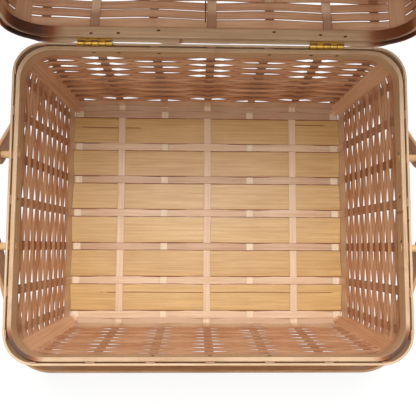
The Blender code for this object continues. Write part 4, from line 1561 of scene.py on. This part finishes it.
class BASKET_OT_lid(bpy.types.Operator):
    """Bend the lid's hoops and weave its wall and top"""

    bl_idname = "basket.lid"
    bl_label = "Woven Lid"

    def execute(self, context):
        size, lid = sizes(), lid_sizes()
        relieve(add_hoop(
            "lid_rim_outside", "lid_outer_hoop", 0, lid.radius, size.outer_hoop, lid.bottom,
            lid.bottom + lid.hoop, LID_SEED, LID_OUTER_LAP, closed_to_open,
            scorches=LID_OUTER_SCORCHES, drops=LID_EDGE_DROPS,
        ), context)
        low = lid.bottom + lid.step
        add_hoop(
            "lid_rim_inside", "lid_inner_hoop", inner_inset(), lid.radius, size.inner_hoop, low,
            low + lid.inner_hoop, LID_SEED + 1, LID_INNER_LAP, closed_to_open,
            scorches=LID_INNER_SCORCHES,
        )
        wall = lid_wall()
        top = lid.depth - lid.step - 2 * size.gap
        hinge_top = top - fittings().leaf_depth + lid.step
        foot = lid.depth - lid.step - lid.inner_hoop
        half_length = wall.outline(0)[0] + LID_SLAT_END
        slats = [
            slat(wall, number, half_length, LID_SEED + 10 + number, to_lid) for number in SLATS
        ]
        lengthways = [edge_filler(wall, way, LID_SEED + 60 + way, to_lid) for way in (-1, 1)]
        lengthways += [
            long_splint(wall, index, top, lid.edge, LID_SEED + 30 + index, to_lid)
            for index in SPLINTS
        ]
        crossways = [
            cross_splint(wall, index, top, hinge_top, lid.edge, LID_SEED + 50 + index, to_lid)
            for index in SPLINTS
        ]
        strips = []
        high = foot
        for number in range(LID_STRIPS):
            pitch = lid.first_strip if number in (0, LID_STRIPS - 1) else lid.strip
            strips.append(weaver_round(
                wall, high - pitch + LID_STRIP_GAP, high, number == LID_STRIPS - 1, LID_PINCH,
                LID_SEED + 70 + number, to_lid,
            ))
            high -= pitch
        strips.append(upright(
            wall, *LID_BUTT, high + lid.strip, foot, BUTT_WIDTH, BUTT_THICKNESS, BUTT_PROUD, 1,
            LID_SEED + 79, to_lid,
        ))
        corners = corner_strips(wall, wall.high, LID_SEED + 80, to_lid)
        corners += corner_stakes(wall, lid.edge, top, LID_SEED + 90, to_lid)
        for name, chunks, finish, slot in (
            ("lid_slats", slats, "varnished_oak_slat", "slat"),
            ("lid_lengthways", lengthways, "shaved_ash_splint", "splint"),
            ("lid_crossways", crossways, "shaved_ash_splint", "splint"),
            ("lid_strips", strips, "aged_split_weaver", "weaver"),
            ("lid_corners", corners, "aged_split_weaver", "splint"),
        ):
            add_piece(name, chunks, finish, "lid", ["lid_weave"])
        face_y = inner_faces()[1]
        nails = [
            nail(closed_to_open((along, face_y, lid.bottom + up)), (0, 0, 1), number)
            for number, (along, up) in enumerate(LID_NAILS)
        ]
        add_piece("lid_nails", nails, "drawn_steel_nail", "lid", [])
        return {"FINISHED"}


class BASKET_OT_stage(bpy.types.Operator):
    """Set the floor, the soft lamps and the camera"""

    bl_idname = "basket.stage"
    bl_label = "Floor, Lamps and Camera"

    def execute(self, context):
        scene = context.scene
        scene.view_settings.view_transform = "Standard"
        mesh = bpy.data.meshes.new("floor")
        far = FLOOR_REACH
        corners = [(-far, -far, 0), (far, -far, 0), (far, far, 0), (-far, far, 0)]
        mesh.from_pydata(corners, [], [(0, 1, 2, 3)])
        floor = bpy.data.objects.new("floor", mesh)
        scene.collection.objects.link(floor)
        floor.location.z = CAD_BOX[0][2] - FLOOR_GAP
        mesh.materials.append(pale_floor())
        world = bpy.data.worlds.new("studio")
        scene.world = world
        world.use_nodes = True
        tree = world.node_tree
        tree.nodes.clear()
        level = ranged(tree, seen_rays(tree), to_min=WORLD_LEVEL)
        back = add_node(tree, "ShaderNodeBackground", [
            ("Color", (1, 1, 1, 1)), ("Strength", level),
        ])
        add_node(tree, "ShaderNodeOutputWorld", [("Surface", back.outputs[0])])
        for name, place, power, width in LAMPS:
            light = bpy.data.lights.new(name, "AREA")
            light.energy = power
            light.shape = "DISK"
            light.size = width
            lamp = bpy.data.objects.new(name, light)
            scene.collection.objects.link(lamp)
            lamp.location = place
            aim = Vector(LAMP_AIM) - Vector(place)
            lamp.rotation_euler = aim.to_track_quat("-Z", "Y").to_euler()
        lens = bpy.data.cameras.new("camera")
        lens.lens = LENS
        lens.sensor_width = SENSOR
        lens.clip_start = 0.01
        view = bpy.data.objects.new("camera", lens)
        scene.collection.objects.link(view)
        view.location = to_basket(CAMERA_PLACE)
        view.rotation_euler = CAMERA_TURN
        scene.camera = view
        return {"FINISHED"}


def seen_rays(tree):
    """Camera, glossy and transmission rays as 1, and the rays that light the object as 0."""
    rays = add_node(tree, "ShaderNodeLightPath")
    total = rays.outputs["Is Camera Ray"]
    for name in ("Is Glossy Ray", "Is Transmission Ray"):
        total = math_node(tree, "MAXIMUM", total, rays.outputs[name])
    return total


def pale_floor():
    """Matt paper backdrop: near white, and it keeps the object's soft shadow."""
    made, tree, shader = new_material("matt_paper_floor", Roughness=0.9)
    where = add_node(tree, "ShaderNodeNewGeometry")
    fibre = noise(tree, where.outputs["Position"], 1 / FIBRE_SPACING, 2)
    paper = linear(bpy.context.scene.basket_colours.floor)
    tree.links.new(shader.inputs["Base Color"], mixed(tree, fibre, paper, linear("FFFFFF")))
    glow = add_node(tree, "ShaderNodeEmission", [("Color", (1, 1, 1, 1)), ("Strength", 1)])
    both = add_node(tree, "ShaderNodeMixShader", [
        (0, math_node(tree, "MULTIPLY", seen_rays(tree), FLOOR_GLOW)), (1, shader.outputs[0]),
        (2, glow.outputs[0]),
    ])
    output = next(node for node in tree.nodes if node.type == "OUTPUT_MATERIAL")
    tree.links.new(output.inputs["Surface"], both.outputs[0])
    return made


class BASKET_PT_panel(bpy.types.Panel):
    """Sizes, colours and pieces of the basket"""

    bl_label = "Pie Basket"
    bl_idname = "BASKET_PT_panel"
    bl_space_type = "VIEW_3D"
    bl_region_type = "UI"
    bl_category = "Pie Basket"

    def draw(self, context):
        for title, group in GROUPS:
            box = self.layout.box()
            box.label(text=title)
            settings = getattr(context.scene, group)
            for name in settings.__annotations__:
                box.prop(settings, name)
        for operator in OPERATORS:
            self.layout.operator(operator.bl_idname)


GROUPS = (
    ("Basket", "basket_sizes"), ("Handles and hinges", "basket_fittings"), ("Lid", "basket_lid"),
    ("Colours", "basket_colours"),
)
GROUP_CLASSES = (BasketSizes, FittingSizes, LidSizes, FinishColours)
OPERATORS = (
    BASKET_OT_slats, BASKET_OT_splints, BASKET_OT_corner_strips, BASKET_OT_weavers, BASKET_OT_rim,
    BASKET_OT_handles, BASKET_OT_hinges, BASKET_OT_lid, BASKET_OT_stage,
)


def register():
    for group in GROUP_CLASSES + OPERATORS + (BASKET_PT_panel,):
        bpy.utils.register_class(group)
    for (_, name), group in zip(GROUPS, GROUP_CLASSES):
        setattr(bpy.types.Scene, name, bpy.props.PointerProperty(type=group))


def unregister():
    for _, name in GROUPS:
        delattr(bpy.types.Scene, name)
    for group in reversed(GROUP_CLASSES + OPERATORS + (BASKET_PT_panel,)):
        bpy.utils.unregister_class(group)


def main():
    register()
    bpy.ops.basket.slats()
    bpy.ops.basket.splints()
    bpy.ops.basket.corner_strips()
    bpy.ops.basket.weavers()
    bpy.ops.basket.rim()
    bpy.ops.basket.handles()
    bpy.ops.basket.hinges()
    bpy.ops.basket.lid()
    bpy.ops.basket.stage()


if __name__ == "__main__":
    main()
